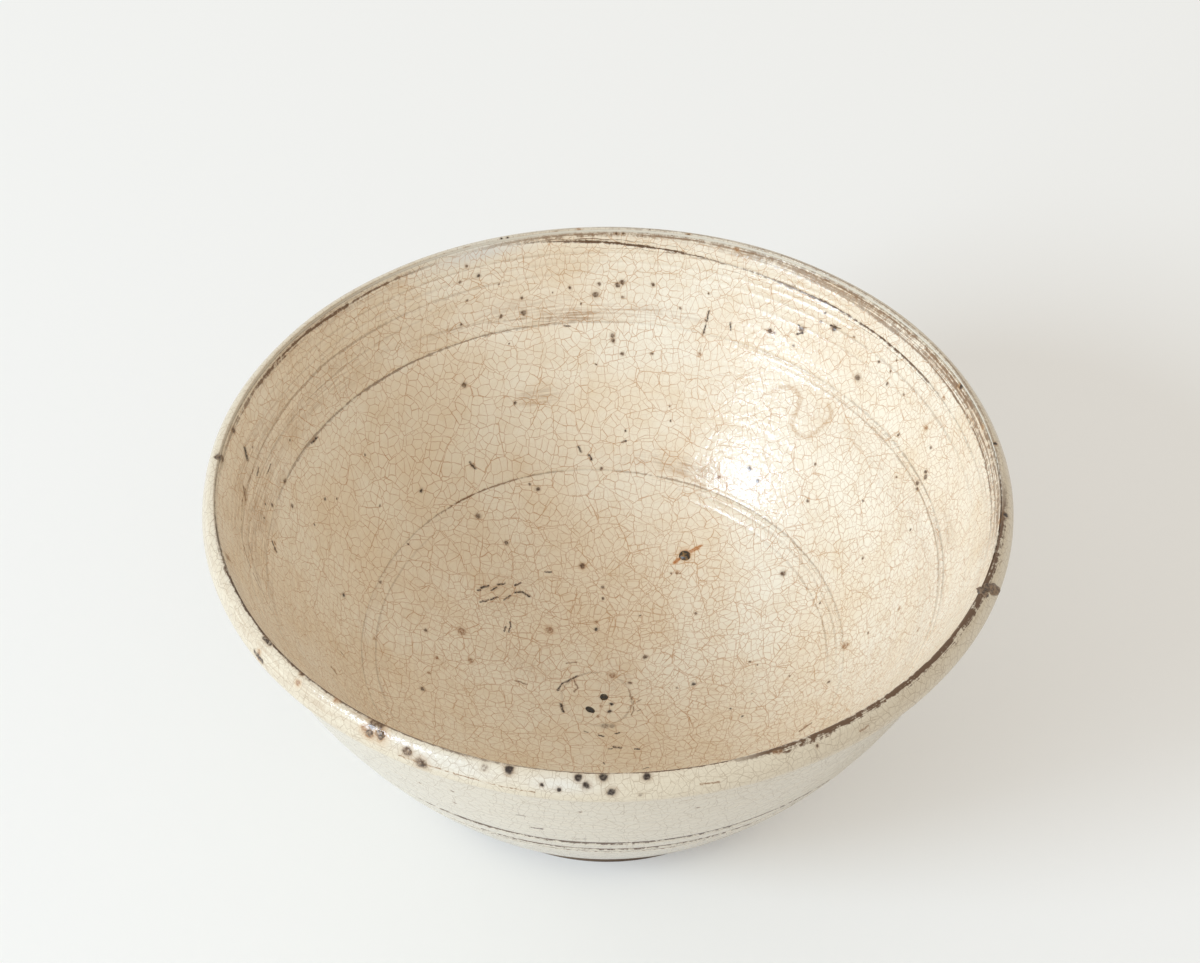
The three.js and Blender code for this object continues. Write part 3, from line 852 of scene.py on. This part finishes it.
BROWN_STROKES = [
    (0.7, (632, 697), (634, 706), (632, 715)),
    (0.7, (253, 470), (242.5, 500), (241.4, 534), (247, 558), (261, 590)),
    (0.6, (249, 545), (257, 575), (266, 600), (272, 612)),
    (0.6, (398, 755), (430, 766), (470, 778), (510, 788), (535, 792)), (0.8, (701, 784), (719, 782)),
    (1.2, (774, 753.5), (782, 751)), (1.3, (800, 731), (811, 723.5)), (1.0, (860, 731), (868, 726)),
    (1.3, (331.5, 667), (336.5, 674)), (0.9, (341, 652), (344, 656)), (0.6, (298, 642), (301, 647)),
    (1.8, (243.5, 487), (245.5, 500)), (0.9, (573, 677), (578, 688), (574, 692)),
    (0.8, (676, 573), (680, 573)), (0.7, (703.5, 333), (700, 354)), (1.0, (516, 681), (527, 684)),
    (0.8, (566, 663), (577, 662)), (0.6, (636, 702), (641, 700)), (0.6, (637, 711), (641, 709)),
    (1.1, (765, 330), (775, 333)),
]
TAN_STROKES = [
    (2.4, (774, 389), (787, 386), (797, 391), (801, 400), (796, 413), (791, 424), (797, 434),
     (808, 437), (819, 430), (829, 420), (832, 412), (828, 405)),
    (1.6, (672, 470), (690, 478), (705, 486)), (1.5, (520, 404), (545, 402)),
]
ORANGE_MARKS = [
    (6.0, (685, 554.5)), (2.0, (690, 551.5), (697, 548.5)), (1.3, (697, 548.5), (701.5, 545.5)),
    (1.8, (680, 558), (675, 562)),
]
print(len(DARK_SPOTS), "dark,", len(IRON_SPOTS), "brown and", len(RUST_SPOTS), "rust spots")

# %% [markdown]
# ## The glaze itself
# It is a lime glaze over stoneware: clear glass, clouded cream, that crazed on cooling. What the
# eye reads is a soft cream body, a sharp gloss, and the tea-brown net of the crackle. The finish
# is built up in layers: the cream body with the dirt and a broad painted shade on it, the crazing,
# the stained lines that a tool pressed, and the iron that melted through. The gloss lies over them all.

# %% Cream body
CREAM, DEEPER_CREAM, TAN = "f2e9d5", "ecdcc1", "d9bf98"
LIP_CREAM, WALL_CREAM = "dccfb6", "d9cfbc"
CLOUD, BLUSH = 22.22, 6.25  # mm across
EASED = {"interpolation_type": "SMOOTHSTEP"}


def per_metre(width):
    """The scale of a noise whose lumps are so many millimetres wide."""
    return 1 / (width * MM)


def cream_body(tree, place, from_lip, outer):
    """Cream that clouds and blushes to tan, a little greyer on the lip and on the outer wall."""
    cloud = add(
        tree, "TexNoise", {"Vector": place, "Scale": per_metre(CLOUD), "Detail": 4.0, "Roughness": 0.6}
    )
    cloud = add(tree, "MapRange", [cloud, 0.3, 0.7], **EASED)
    body = add(tree, "Mix", [cloud, colour(CREAM), colour(DEEPER_CREAM)], data_type="RGBA")
    blush = add(
        tree, "TexNoise", {"Vector": place, "Scale": per_metre(BLUSH), "Detail": 3.0, "Roughness": 0.6}
    )
    blush = add(tree, "MapRange", [blush, 0.45, 0.75, 0.0, 0.3], **EASED)
    body = add(tree, "Mix", [blush, body, colour(TAN)], data_type="RGBA")
    body = add(tree, "Mix", [outer, body, colour(LIP_CREAM)], data_type="RGBA")
    lower = add(tree, "MapRange", [from_lip, -5.0, -12.0], **EASED)
    return add(tree, "Mix", [lower, body, colour(WALL_CREAM)], data_type="RGBA")


print("clouds", CLOUD, "mm and blushes", BLUSH, "mm across")

# %% [markdown]
# ## Crackle
# A first network of long cracks parts the surface, and shorter ones then cross each field between
# them and end at the first ones in T-joints. Voronoi patterns give that, if each finer pattern is
# shifted by a different amount in each field of the one before it. The cracks are dark because
# tea has soaked into them, more inside the bowl than outside.

# %% Crackle
# Usual width in mm of the fields at each stage, and how dark their cracks are. The last stage
# shows only where the coat cooled fastest.
CRACK_STAGES = ((6.5, 0.85), (2.15, 0.8), (1.5, 0.65))
FINE_STAGE = 2
CRACK_BENDS = ((0.1, 4.0), (0.6, 0.5))  # bends to the millimetre, and how far they reach
CRACK_HALF_WIDTHS = (0.09, 0.14)
WIDTH_CHANGES, CRACK_GAPS = 0.16, 0.5  # to the millimetre
FIELD_SHIFT = 40  # mm, enough for the next pattern to be a new one
UNEVEN_FIELDS = 0.85
TEA_INSIDE, TEA_OUTSIDE = "b88045", "9c8468"
OUTSIDE_CRACKS = 0.8


def crackle(tree, where):
    """How dark the cracks are at a place on the flat map, from 0 to 1."""
    bent = where
    for scale, reach in CRACK_BENDS:
        bend = add(tree, "TexNoise", {"Vector": where, "Scale": scale, "Detail": 1.0}, out="Color")
        bend = add(tree, "VectorMath", [bend, (0.5, 0.5, 0.5)], operation="SUBTRACT")
        bent = add(tree, "VectorMath", [bend, (reach, reach, 0), bent], operation="MULTIPLY_ADD")
    uneven = add(tree, "TexNoise", {"Vector": where, "Scale": WIDTH_CHANGES, "Detail": 3.0})
    half = add(tree, "MapRange", [uneven, 0.35, 0.65, *CRACK_HALF_WIDTHS], **EASED)
    fine = add(tree, "Attribute", out="Fac", attribute_name="fine")
    shift = (0, 0, 0)
    dark = 0.0
    for stage, (size, strength) in enumerate(CRACK_STAGES):
        far_off = (FIELD_SHIFT, FIELD_SHIFT, 0)
        shifted = add(tree, "VectorMath", [shift, far_off, bent], operation="MULTIPLY_ADD")
        cells = {"Vector": shifted, "Scale": 1 / size, "Randomness": UNEVEN_FIELDS}
        shift = add(tree, "TexVoronoi", cells, out="Color", voronoi_dimensions="2D")
        edge = add(tree, "TexVoronoi", cells, feature="DISTANCE_TO_EDGE", voronoi_dimensions="2D")
        away = add(tree, "Math", [edge, size], operation="MULTIPLY")
        line = add(tree, "MapRange", [away, 0.0, half, strength, 0.0], **EASED)
        if stage == FINE_STAGE:
            line = add(tree, "Math", [line, fine], operation="MULTIPLY")
        dark = add(tree, "Math", [dark, line], operation="MAXIMUM")
    broken = add(tree, "TexNoise", {"Vector": where, "Scale": CRACK_GAPS, "Detail": 2.0})
    broken = add(tree, "MapRange", [broken, 0.35, 0.55, 0.6, 1.0], **EASED)
    return add(tree, "Math", [dark, broken], operation="MULTIPLY")


def crazed(tree, body, from_lip, outer, frost):
    """The body with its net of cracks, tea-brown inside and greyer outside."""
    where = add(tree, "Attribute", out="Vector", attribute_name="glaze_map")
    kept = add(tree, "MapRange", [from_lip, 1.5, -0.5, 1.0, OUTSIDE_CRACKS], **EASED)
    kept = add(tree, "Math", [kept, frost], operation="MAXIMUM")
    kept = add(tree, "Math", [kept, crackle(tree, where)], operation="MULTIPLY")
    tea = add(tree, "Mix", [outer, colour(TEA_INSIDE), colour(TEA_OUTSIDE)], data_type="RGBA")
    return add(tree, "Mix", [kept, body, tea], data_type="RGBA")


print("fields of", [size for size, _ in CRACK_STAGES], "mm")

# %% [markdown]
# ## Dirt, painted shade and stained lines
# Clay slip and tea settle where the tool pressed and where fingers turned the rim. The same brown
# also lies thinly over the near left of the inside as painted shade, where the lamp's shadow falls.
# A noise that is drawn out round the bowl gives the streaks that turning leaves, and a fine one
# nibbles at the edges of each line, so that no line looks ruled.

# %% Dirt and painted shade, frost and stained lines
STREAKS = (6, 6, 2.6)  # long round the bowl, and 2.6 of them to the millimetre down the wall
BLOT, NIBBLE = 2, 1.111  # mm across
# The brown below serves both for dirt and for the painted shade on the near left of the inside.
DIRT_AND_SHADE, FROST = "a07c58", "dfdcd3"
DARK_LINE, RUSTY_LINE = "4a382c", "94693c"


def soiled_and_shaded(tree, body, place, streaks, frost):
    """The body with streaky dirt and painted shade, and a grey bloom where the coat is thin."""
    blots = add(
        tree, "TexNoise", {"Vector": place, "Scale": per_metre(BLOT), "Detail": 4.0, "Roughness": 0.7}
    )
    blots = add(tree, "MapRange", [blots, 0.3, 0.6, 0.3, 1.0], **EASED)
    streaky = add(tree, "MapRange", [streaks, 0.35, 0.65], **EASED)
    uneven = add(tree, "Math", [streaky, blots], operation="MULTIPLY")
    # This mask holds real dirt and one broad patch of painted shade.
    dirt_and_shade = add(tree, "Attribute", out="Fac", attribute_name="dirt_and_shade")
    dirt_and_shade = add(tree, "Math", [dirt_and_shade, uneven], operation="MULTIPLY")
    body = add(tree, "Mix", [dirt_and_shade, body, colour(DIRT_AND_SHADE)], data_type="RGBA")
    return add(tree, "Mix", [frost, body, colour(FROST)], data_type="RGBA")


def lined(tree, toned, place, streaks):
    """The stain of the tool lines, with ragged edges."""
    offset = add(tree, "Attribute", out="Fac", attribute_name="line_offset")
    stain = add(tree, "Attribute", out="Fac", attribute_name="line_stain")
    rust = add(tree, "Attribute", out="Fac", attribute_name="line_rust")
    nibble = add(
        tree, "TexNoise", {"Vector": place, "Scale": per_metre(NIBBLE), "Detail": 3.0, "Roughness": 0.7}
    )
    nibble = add(tree, "MapRange", [nibble, 0.25, 0.75, -0.6, 0.6], **EASED)
    worn = add(tree, "MapRange", [streaks, 0.3, 0.7, 0.5, -0.5], **EASED)
    edge = add(tree, "Math", [offset], operation="ABSOLUTE")
    edge = add(tree, "Math", [nibble, edge], operation="ADD")
    edge = add(tree, "Math", [worn, edge], operation="ADD")
    line = add(tree, "MapRange", [edge, 1.1, 0.1], **EASED)
    line = add(tree, "Math", [line, stain], operation="MULTIPLY")
    line_tone = add(tree, "Mix", [rust, colour(DARK_LINE), colour(RUSTY_LINE)], data_type="RGBA")
    return add(tree, "Mix", [line, toned, line_tone], data_type="RGBA")


print("lines nibbled every", NIBBLE, "mm")

# %% [markdown]
# ## Iron and other marks
# Each mark lies in the glaze and not on it, so it is part of the finish. A node group measures how
# far a place is from the nearest mark of one kind, which costs a few nodes for each mark and lets
# every mark keep its own place and size. All of them are read through the same fine shake, so
# that their edges are ragged, and a mottle lets the cream through the thin ones.

# %% Distance to the nearest mark
NOWHERE = 9.0  # half-widths, further than any mark shows


def nearest_mark(name, marks):
    """A node group: how far a place lies from the nearest mark, in that mark's half-widths."""
    group = bpy.data.node_groups.new(name, "ShaderNodeTree")
    group.interface.new_socket("Place", in_out="INPUT", socket_type="NodeSocketVector")
    group.interface.new_socket("Near", in_out="OUTPUT", socket_type="NodeSocketFloat")
    place = group.nodes.new("NodeGroupInput").outputs["Place"]
    nearest = NOWHERE
    for half_width, *stops in marks:
        ends = [on_photo(x, y)[0] for x, y in stops]
        for start, end in zip(ends, ends[1:] or ends):
            from_start = add(group, "VectorMath", [place, start], operation="SUBTRACT")
            reached = (0, 0, 0)
            if end != start:
                way = end - start
                unit = way / way.length_squared
                share = add(group, "VectorMath", [from_start, unit], operation="DOT_PRODUCT")
                share = add(group, "Math", [share, 1.0], operation="MINIMUM")
                share = add(group, "Math", [share, 0.0], operation="MAXIMUM")
                reached = add(group, "VectorMath", {"Vector": way, "Scale": share}, operation="SCALE")
            away = add(group, "VectorMath", [from_start, reached], operation="DISTANCE")
            near = add(group, "Math", [away, half_width * MM_PER_PIXEL * MM], operation="DIVIDE")
            nearest = add(group, "Math", [nearest, near], operation="MINIMUM")
    group.links.new(nearest, group.nodes.new("NodeGroupOutput").inputs["Near"])
    print(name, len(marks))
    return group


def rounds(spots):
    """Round spots as strokes of a single pixel."""
    return [(SPOT_GROWTH * radius, (x, y)) for x, y, radius in spots]


largest = 2 * MM_PER_PIXEL * max(radius for _, _, radius in IRON_SPOTS)
print("the largest speck is", round(largest, 1), "mm across")

# %% The kinds of marks
# Name, marks, colour of the core and of the halo, then how strong the core is at least and at most
KINDS_OF_MARKS = (
    ("tan_strokes", TAN_STROKES, "b98f60", "c9a67c", 0.1, 0.42),
    ("grey_spots", rounds(GREY_SPOTS), "8a7866", "c4b092", 0.3, 0.8),
    ("rust_spots", rounds(RUST_SPOTS), "94673f", "c79f70", 0.3, 0.85),
    ("orange_marks", ORANGE_MARKS, "b06a26", "cf9850", 0.6, 0.95),
    ("brown_strokes", BROWN_STROKES, "7a5433", "b38d63", 0.4, 0.85),
    ("iron_spots", rounds(IRON_SPOTS), "553a22", "a98257", 0.6, 0.95),
    ("dark_spots", rounds(DARK_SPOTS), "2b1c10", "8a6643", 0.85, 1.0),
    ("dark_strokes", DARK_STROKES, "39281a", "96734f", 0.5, 1.0),
)
SHAKE, MOTTLE = 0.909, 0.4167  # mm across
SHAKE_REACH = 0.8 * MM
CORE = (1.25, 0.6)  # from the bare glaze to the full core, in half-widths
HALO = (2.2, 0.9)
HALO_SHARE = 0.4  # of the core's strength


def marked(tree, toned, place):
    """The glaze with its specks, strokes and stains, the darkest ones last."""
    shake = add(
        tree, "TexNoise", {"Vector": place, "Scale": per_metre(SHAKE), "Detail": 4.0}, out="Color"
    )
    shake = add(tree, "VectorMath", [shake, (0.5, 0.5, 0.5)], operation="SUBTRACT")
    shaken = add(tree, "VectorMath", [shake, (SHAKE_REACH,) * 3, place], operation="MULTIPLY_ADD")
    mottle = add(tree, "TexNoise", {"Vector": place, "Scale": per_metre(MOTTLE), "Detail": 2.0})
    for name, marks, core, halo, least, most in KINDS_OF_MARKS:
        near = add(tree, "Group", [shaken], node_tree=nearest_mark(name, marks))
        ring = add(tree, "MapRange", [near, *HALO, 0.0, HALO_SHARE * most], **EASED)
        toned = add(tree, "Mix", [ring, toned, colour(halo)], data_type="RGBA")
        inner = add(tree, "MapRange", [near, *CORE], **EASED)
        uneven = add(tree, "MapRange", [mottle, 0.38, 0.56, least, most], **EASED)
        inner = add(tree, "Math", [inner, uneven], operation="MULTIPLY")
        toned = add(tree, "Mix", [inner, toned, colour(core)], data_type="RGBA")
    return toned


print(len(KINDS_OF_MARKS), "kinds of marks")

# %% [markdown]
# ## Gloss
# The glaze has two surfaces for the eye. The cream that shows through is soft, so the main layer
# is rough and weak. The glass on top is sharp, so a clear coat lies over it, with the dimples and
# turning streaks that break up the highlight.

# %% Glaze material
PEEL, DIMPLE = 3.03, 1  # mm across
PEEL_DEPTH = 0.05  # mm
SOFT_DIMPLES, HARD_DIMPLES, HARD_STREAKS = 0.04, 0.15, 0.03  # mm deep
GLOSS = {
    "Roughness": 0.45, "IOR": 1.5, "Specular IOR Level": 0.3,
    "Coat Weight": 0.6, "Coat Roughness": 0.08, "Coat IOR": 1.5,
}


def glaze_material():
    """Crazed lime glaze, dipped: soft cream under a sharp clear gloss."""
    material, tree = new_material("crackled_cream_glaze")
    place = add(tree, "TexCoord", out="Object")
    from_lip = add(tree, "Attribute", out="Fac", attribute_name="from_lip")
    frost = add(tree, "Attribute", out="Fac", attribute_name="frost")
    turning = add(tree, "Attribute", out="Vector", attribute_name="turning")
    drawn = add(tree, "VectorMath", [turning, STREAKS], operation="MULTIPLY")
    streaks = add(tree, "TexNoise", {"Vector": drawn, "Scale": 1.0, "Detail": 4.0, "Roughness": 0.65})
    outer = add(tree, "MapRange", [from_lip, 1.2, -0.8], **EASED)

    body = cream_body(tree, place, from_lip, outer)
    # Dirt, and painted shade over the near left of the inside
    body = soiled_and_shaded(tree, body, place, streaks, frost)
    toned = crazed(tree, body, from_lip, outer, frost)
    toned = lined(tree, toned, place, streaks)
    toned = marked(tree, toned, place)

    peel = add(tree, "TexNoise", {"Vector": place, "Scale": per_metre(PEEL), "Detail": 2.0})
    dimples = add(tree, "TexNoise", {"Vector": place, "Scale": per_metre(DIMPLE), "Detail": 2.0})
    height = add(tree, "Math", [peel, PEEL_DEPTH], operation="MULTIPLY")
    soft_height = add(tree, "Math", [dimples, SOFT_DIMPLES, height], operation="MULTIPLY_ADD")
    hard_height = add(tree, "Math", [dimples, HARD_DIMPLES, height], operation="MULTIPLY_ADD")
    hard_height = add(tree, "Math", [streaks, HARD_STREAKS, hard_height], operation="MULTIPLY_ADD")
    soft = add(tree, "Bump", {"Strength": 1.0, "Distance": MM, "Height": soft_height})
    hard = add(tree, "Bump", {"Strength": 1.0, "Distance": MM, "Height": hard_height})
    looks = {"Base Color": toned, "Normal": soft, "Coat Normal": hard, **GLOSS}
    finish_with(tree, add(tree, "BsdfPrincipled", looks))
    return material


glaze_finish = glaze_material()
for obj in (glaze_inside, glaze_outside):
    obj.data.materials.append(glaze_finish)
print("glaze nodes:", len(glaze_finish.node_tree.nodes))

# %% [markdown]
# ## Stoneware and melted iron
# The bare clay is stoneware full of iron: matt, gritty and brown, with a film of glaze left on
# most of the lip. The grains are iron that melted into dark glass, smooth enough to shine.

# %% Stoneware and iron materials
CLAY, CLAY_FLASH, CLAY_GRIT = "6f5d4b", "5a4636", "8b7864"
THIN_GLAZE = "d9cfbc"
FLASH, GRIT, VEIN = 16.67, 0.6667, 0.5556  # mm across
GRIT_DEPTH = 0.08 * MM
VEIN_DEPTH = 0.05 * MM


def stoneware_material():
    """Turned and fired stoneware, unglazed: matt, with grit that the turning tool dragged out."""
    material, tree = new_material("bare_stoneware")
    place = add(tree, "TexCoord", out="Object")
    grit = add(
        tree, "TexNoise", {"Vector": place, "Scale": per_metre(GRIT), "Detail": 4.0, "Roughness": 0.7}
    )
    flash = add(tree, "TexNoise", {"Vector": place, "Scale": per_metre(FLASH), "Detail": 3.0})
    flash = add(tree, "MapRange", [flash, 0.35, 0.65], **EASED)
    body = add(tree, "Mix", [flash, colour(CLAY), colour(CLAY_FLASH)], data_type="RGBA")
    gritty = add(tree, "MapRange", [grit, 0.5, 0.7, 0.0, 0.5], **EASED)
    toned = add(tree, "Mix", [gritty, body, colour(CLAY_GRIT)], data_type="RGBA")
    bare = add(tree, "Attribute", out="Fac", attribute_name="bare")
    nibble = add(tree, "TexNoise", {"Vector": place, "Scale": per_metre(NIBBLE), "Detail": 3.0})
    nibble = add(tree, "MapRange", [nibble, 0.3, 0.7, -0.3, 0.3], **EASED)
    filmed = add(tree, "Math", [bare, nibble], operation="ADD")
    filmed = add(tree, "MapRange", [filmed, 0.65, 0.4], **EASED)
    toned = add(tree, "Mix", [filmed, toned, colour(THIN_GLAZE)], data_type="RGBA")
    bump = add(tree, "Bump", {"Strength": 1.0, "Distance": GRIT_DEPTH, "Height": grit})
    looks = {"Base Color": toned, "Roughness": 0.7, "Normal": bump}
    finish_with(tree, add(tree, "BsdfPrincipled", looks))
    return material


def iron_material(name, dark, light, roughness):
    """Iron-rich glass, melted and cooled: nearly black, veined and glossy."""
    material, tree = new_material(name)
    place = add(tree, "TexCoord", out="Object")
    vein = add(tree, "TexNoise", {"Vector": place, "Scale": per_metre(VEIN), "Detail": 3.0})
    veined = add(tree, "MapRange", [vein, 0.4, 0.7], **EASED)
    toned = add(tree, "Mix", [veined, colour(dark), colour(light)], data_type="RGBA")
    bump = add(tree, "Bump", {"Strength": 1.0, "Distance": VEIN_DEPTH, "Height": vein})
    looks = {"Base Color": toned, "Roughness": roughness, "IOR": 1.55, "Normal": bump}
    finish_with(tree, add(tree, "BsdfPrincipled", looks))
    return material


stoneware = stoneware_material()
iron_glass = iron_material("melted_iron_grain", "241f17", "4d3f26", 0.18)
rusty_bead = iron_material("rusty_iron_bead", "33291b", "9a7442", 0.35)
for obj in (clay_body, clay_foot):
    obj.data.materials.append(stoneware)
print("also", stoneware.name, iron_glass.name, rusty_bead.name)

# %% [markdown]
# ## Grains in the glaze
# Two grains in the well and a bead on the wall stand out from the coat, so they are shapes. Each
# is a ball that is flattened, made uneven and sunk to its middle where the CAD node has it.

# %% Grains
# Size up the slope and across it, in millimetres
GRAINS = {"well_grain_large": (1.6, 1.7), "well_grain_small": (1.3, 2.1), "wall_iron_bead": (2.1, 2.4)}
GRAIN_DEPTH = 0.8
GRAIN_LUMPS = 0.12
GRAIN_LUMP_SCALE = 3


def grain(name, place, normal, up_slope, across, finish):
    """A melted grain: a flattened ball, a little uneven, half sunk in the glaze."""
    bpy.ops.mesh.primitive_uv_sphere_add(segments=32, ring_count=20, radius=0.5)
    obj = bpy.context.object
    obj.name = obj.data.name = name
    out = Vector((place.x, place.y, 0)).normalized()
    climb = (out - out.dot(normal) * normal).normalized()
    sideways = normal.cross(climb)
    shape = Matrix((climb * up_slope, sideways * across, normal * GRAIN_DEPTH)).transposed() * MM
    points = []
    for vertex in obj.data.vertices:
        own = Vector((len(name), 0, 0))
        lump = 1 + GRAIN_LUMPS * noise.noise(vertex.co * GRAIN_LUMP_SCALE + own)
        points.append(place + shape @ (vertex.co * lump))
    obj.data.vertices.foreach_set("co", [c for point in points for c in point])
    bpy.ops.object.shade_smooth()
    obj.data.materials.append(finish)
    print(name, "at", [round(c / MM, 1) for c in place])
    return obj


grains = []
for node, (up_slope, across) in GRAINS.items():
    low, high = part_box(node)
    _, place, normal, _ = glaze_inside.closest_point_on_mesh((low + high) / 2)
    finish = rusty_bead if node == "wall_iron_bead" else iron_glass
    grains.append(grain("melted_" + node, place.copy(), normal.copy(), up_slope, across, finish))

# %% [markdown]
# ## Blisters on the lip
# Where iron lies thick, it boils in the kiln and leaves a cluster of rough, dark bubbles. One ball
# is copied for each bubble, pressed flat, made uneven and half sunk in the lip where the photograph
# shows it, and the copies are joined into one piece.

# %% Blisters
BLISTER_HEIGHT = 0.3  # of its half-width, over the glaze
BLISTER_LUMPS = 0.45
BLISTER_LUMP_SCALE = 1.6
BLISTER_VEIN = 0.625  # mm across
BLISTER_VEIN_DEPTH = 0.1 * MM
BLISTER_DARK, BLISTER_BROWN, BLISTER_TAN = "4a3d31", "7d6752", "a58a6c"
# Half-width, then the pixels that the bubble runs through
BLISTERS = [
    (6.5, (989.5, 589), (994, 588.5)), (4.4, (981, 590.5)), (3.4, (985.5, 594.5)), (3.6, (369.5, 733)),
    (4, (380.5, 734.5)), (2.6, (409, 752)), (3, (421, 764)), (3.2, (217.5, 457)), (3.0, (222.5, 458.5)),
]


def blister_material():
    """Glaze that boiled with iron: dark, scabby and half glossy."""
    material, tree = new_material("boiled_iron_glaze")
    place = add(tree, "TexCoord", out="Object")
    vein = add(
        tree, "TexNoise", {"Vector": place, "Scale": per_metre(BLISTER_VEIN), "Detail": 3.0, "Roughness": 0.7}
    )
    brown = add(tree, "MapRange", [vein, 0.35, 0.5], **EASED)
    body = add(tree, "Mix", [brown, colour(BLISTER_DARK), colour(BLISTER_BROWN)], data_type="RGBA")
    tan = add(tree, "MapRange", [vein, 0.5, 0.7], **EASED)
    body = add(tree, "Mix", [tan, body, colour(BLISTER_TAN)], data_type="RGBA")
    bump = add(tree, "Bump", {"Strength": 1.0, "Distance": BLISTER_VEIN_DEPTH, "Height": vein})
    looks = {"Base Color": body, "Roughness": 0.3, "IOR": 1.5, "Normal": bump}
    finish_with(tree, add(tree, "BsdfPrincipled", looks))
    return material


bpy.ops.mesh.primitive_uv_sphere_add(segments=24, ring_count=14, radius=1)
ball = bpy.context.object
bpy.ops.object.shade_smooth()
ball.data.materials.append(blister_material())


def blisters(name, marks):
    """Copies of the ball, each pressed into the lip along its stroke, joined into one piece."""
    copies = []
    for half_width, *stops in marks:
        # A single pixel counts as both ends
        (start, normal), (end, _) = [on_photo(x, y) for x, y in (stops * 2)[:2]]
        half = half_width * MM_PER_PIXEL * MM
        along = end - start if end != start else right
        along = (along - along.dot(normal) * normal).normalized()
        length = half + (end - start).length / 2
        across = normal.cross(along) * half
        flat = Matrix((along * length, across, normal * half * BLISTER_HEIGHT)).transposed()
        copy = ball.copy()
        copy.data = ball.data.copy()
        for vertex in copy.data.vertices:
            lump = 1 + BLISTER_LUMPS * noise.noise(BLISTER_LUMP_SCALE * vertex.co + start / MM)
            vertex.co = (start + end) / 2 + flat @ (lump * vertex.co)
        bpy.context.collection.objects.link(copy)
        copies.append(copy)
    bpy.ops.object.select_all(action="DESELECT")
    for copy in copies:
        copy.select_set(True)
    bpy.context.view_layer.objects.active = copies[0]
    bpy.ops.object.join()
    copies[0].name = copies[0].data.name = name
    print(name, len(copies), "bubbles")
    return copies[0]


lip_blisters = blisters("lip_blisters", BLISTERS)
bpy.data.objects.remove(ball)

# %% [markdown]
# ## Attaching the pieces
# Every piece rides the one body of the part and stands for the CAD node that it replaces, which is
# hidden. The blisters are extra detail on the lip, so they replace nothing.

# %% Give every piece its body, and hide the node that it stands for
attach(lip_blisters, "root")
for obj, node, slot in (
    (glaze_inside, "inside_glaze", "glaze"),
    (glaze_outside, "outside_glaze", "glaze"),
    (clay_body, "bowl_body", "clay"),
    (clay_foot, "foot_ring", "clay"),
    *((piece, node, "iron") for piece, node in zip(grains, GRAINS)),
):
    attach(obj, "root")
    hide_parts(node)
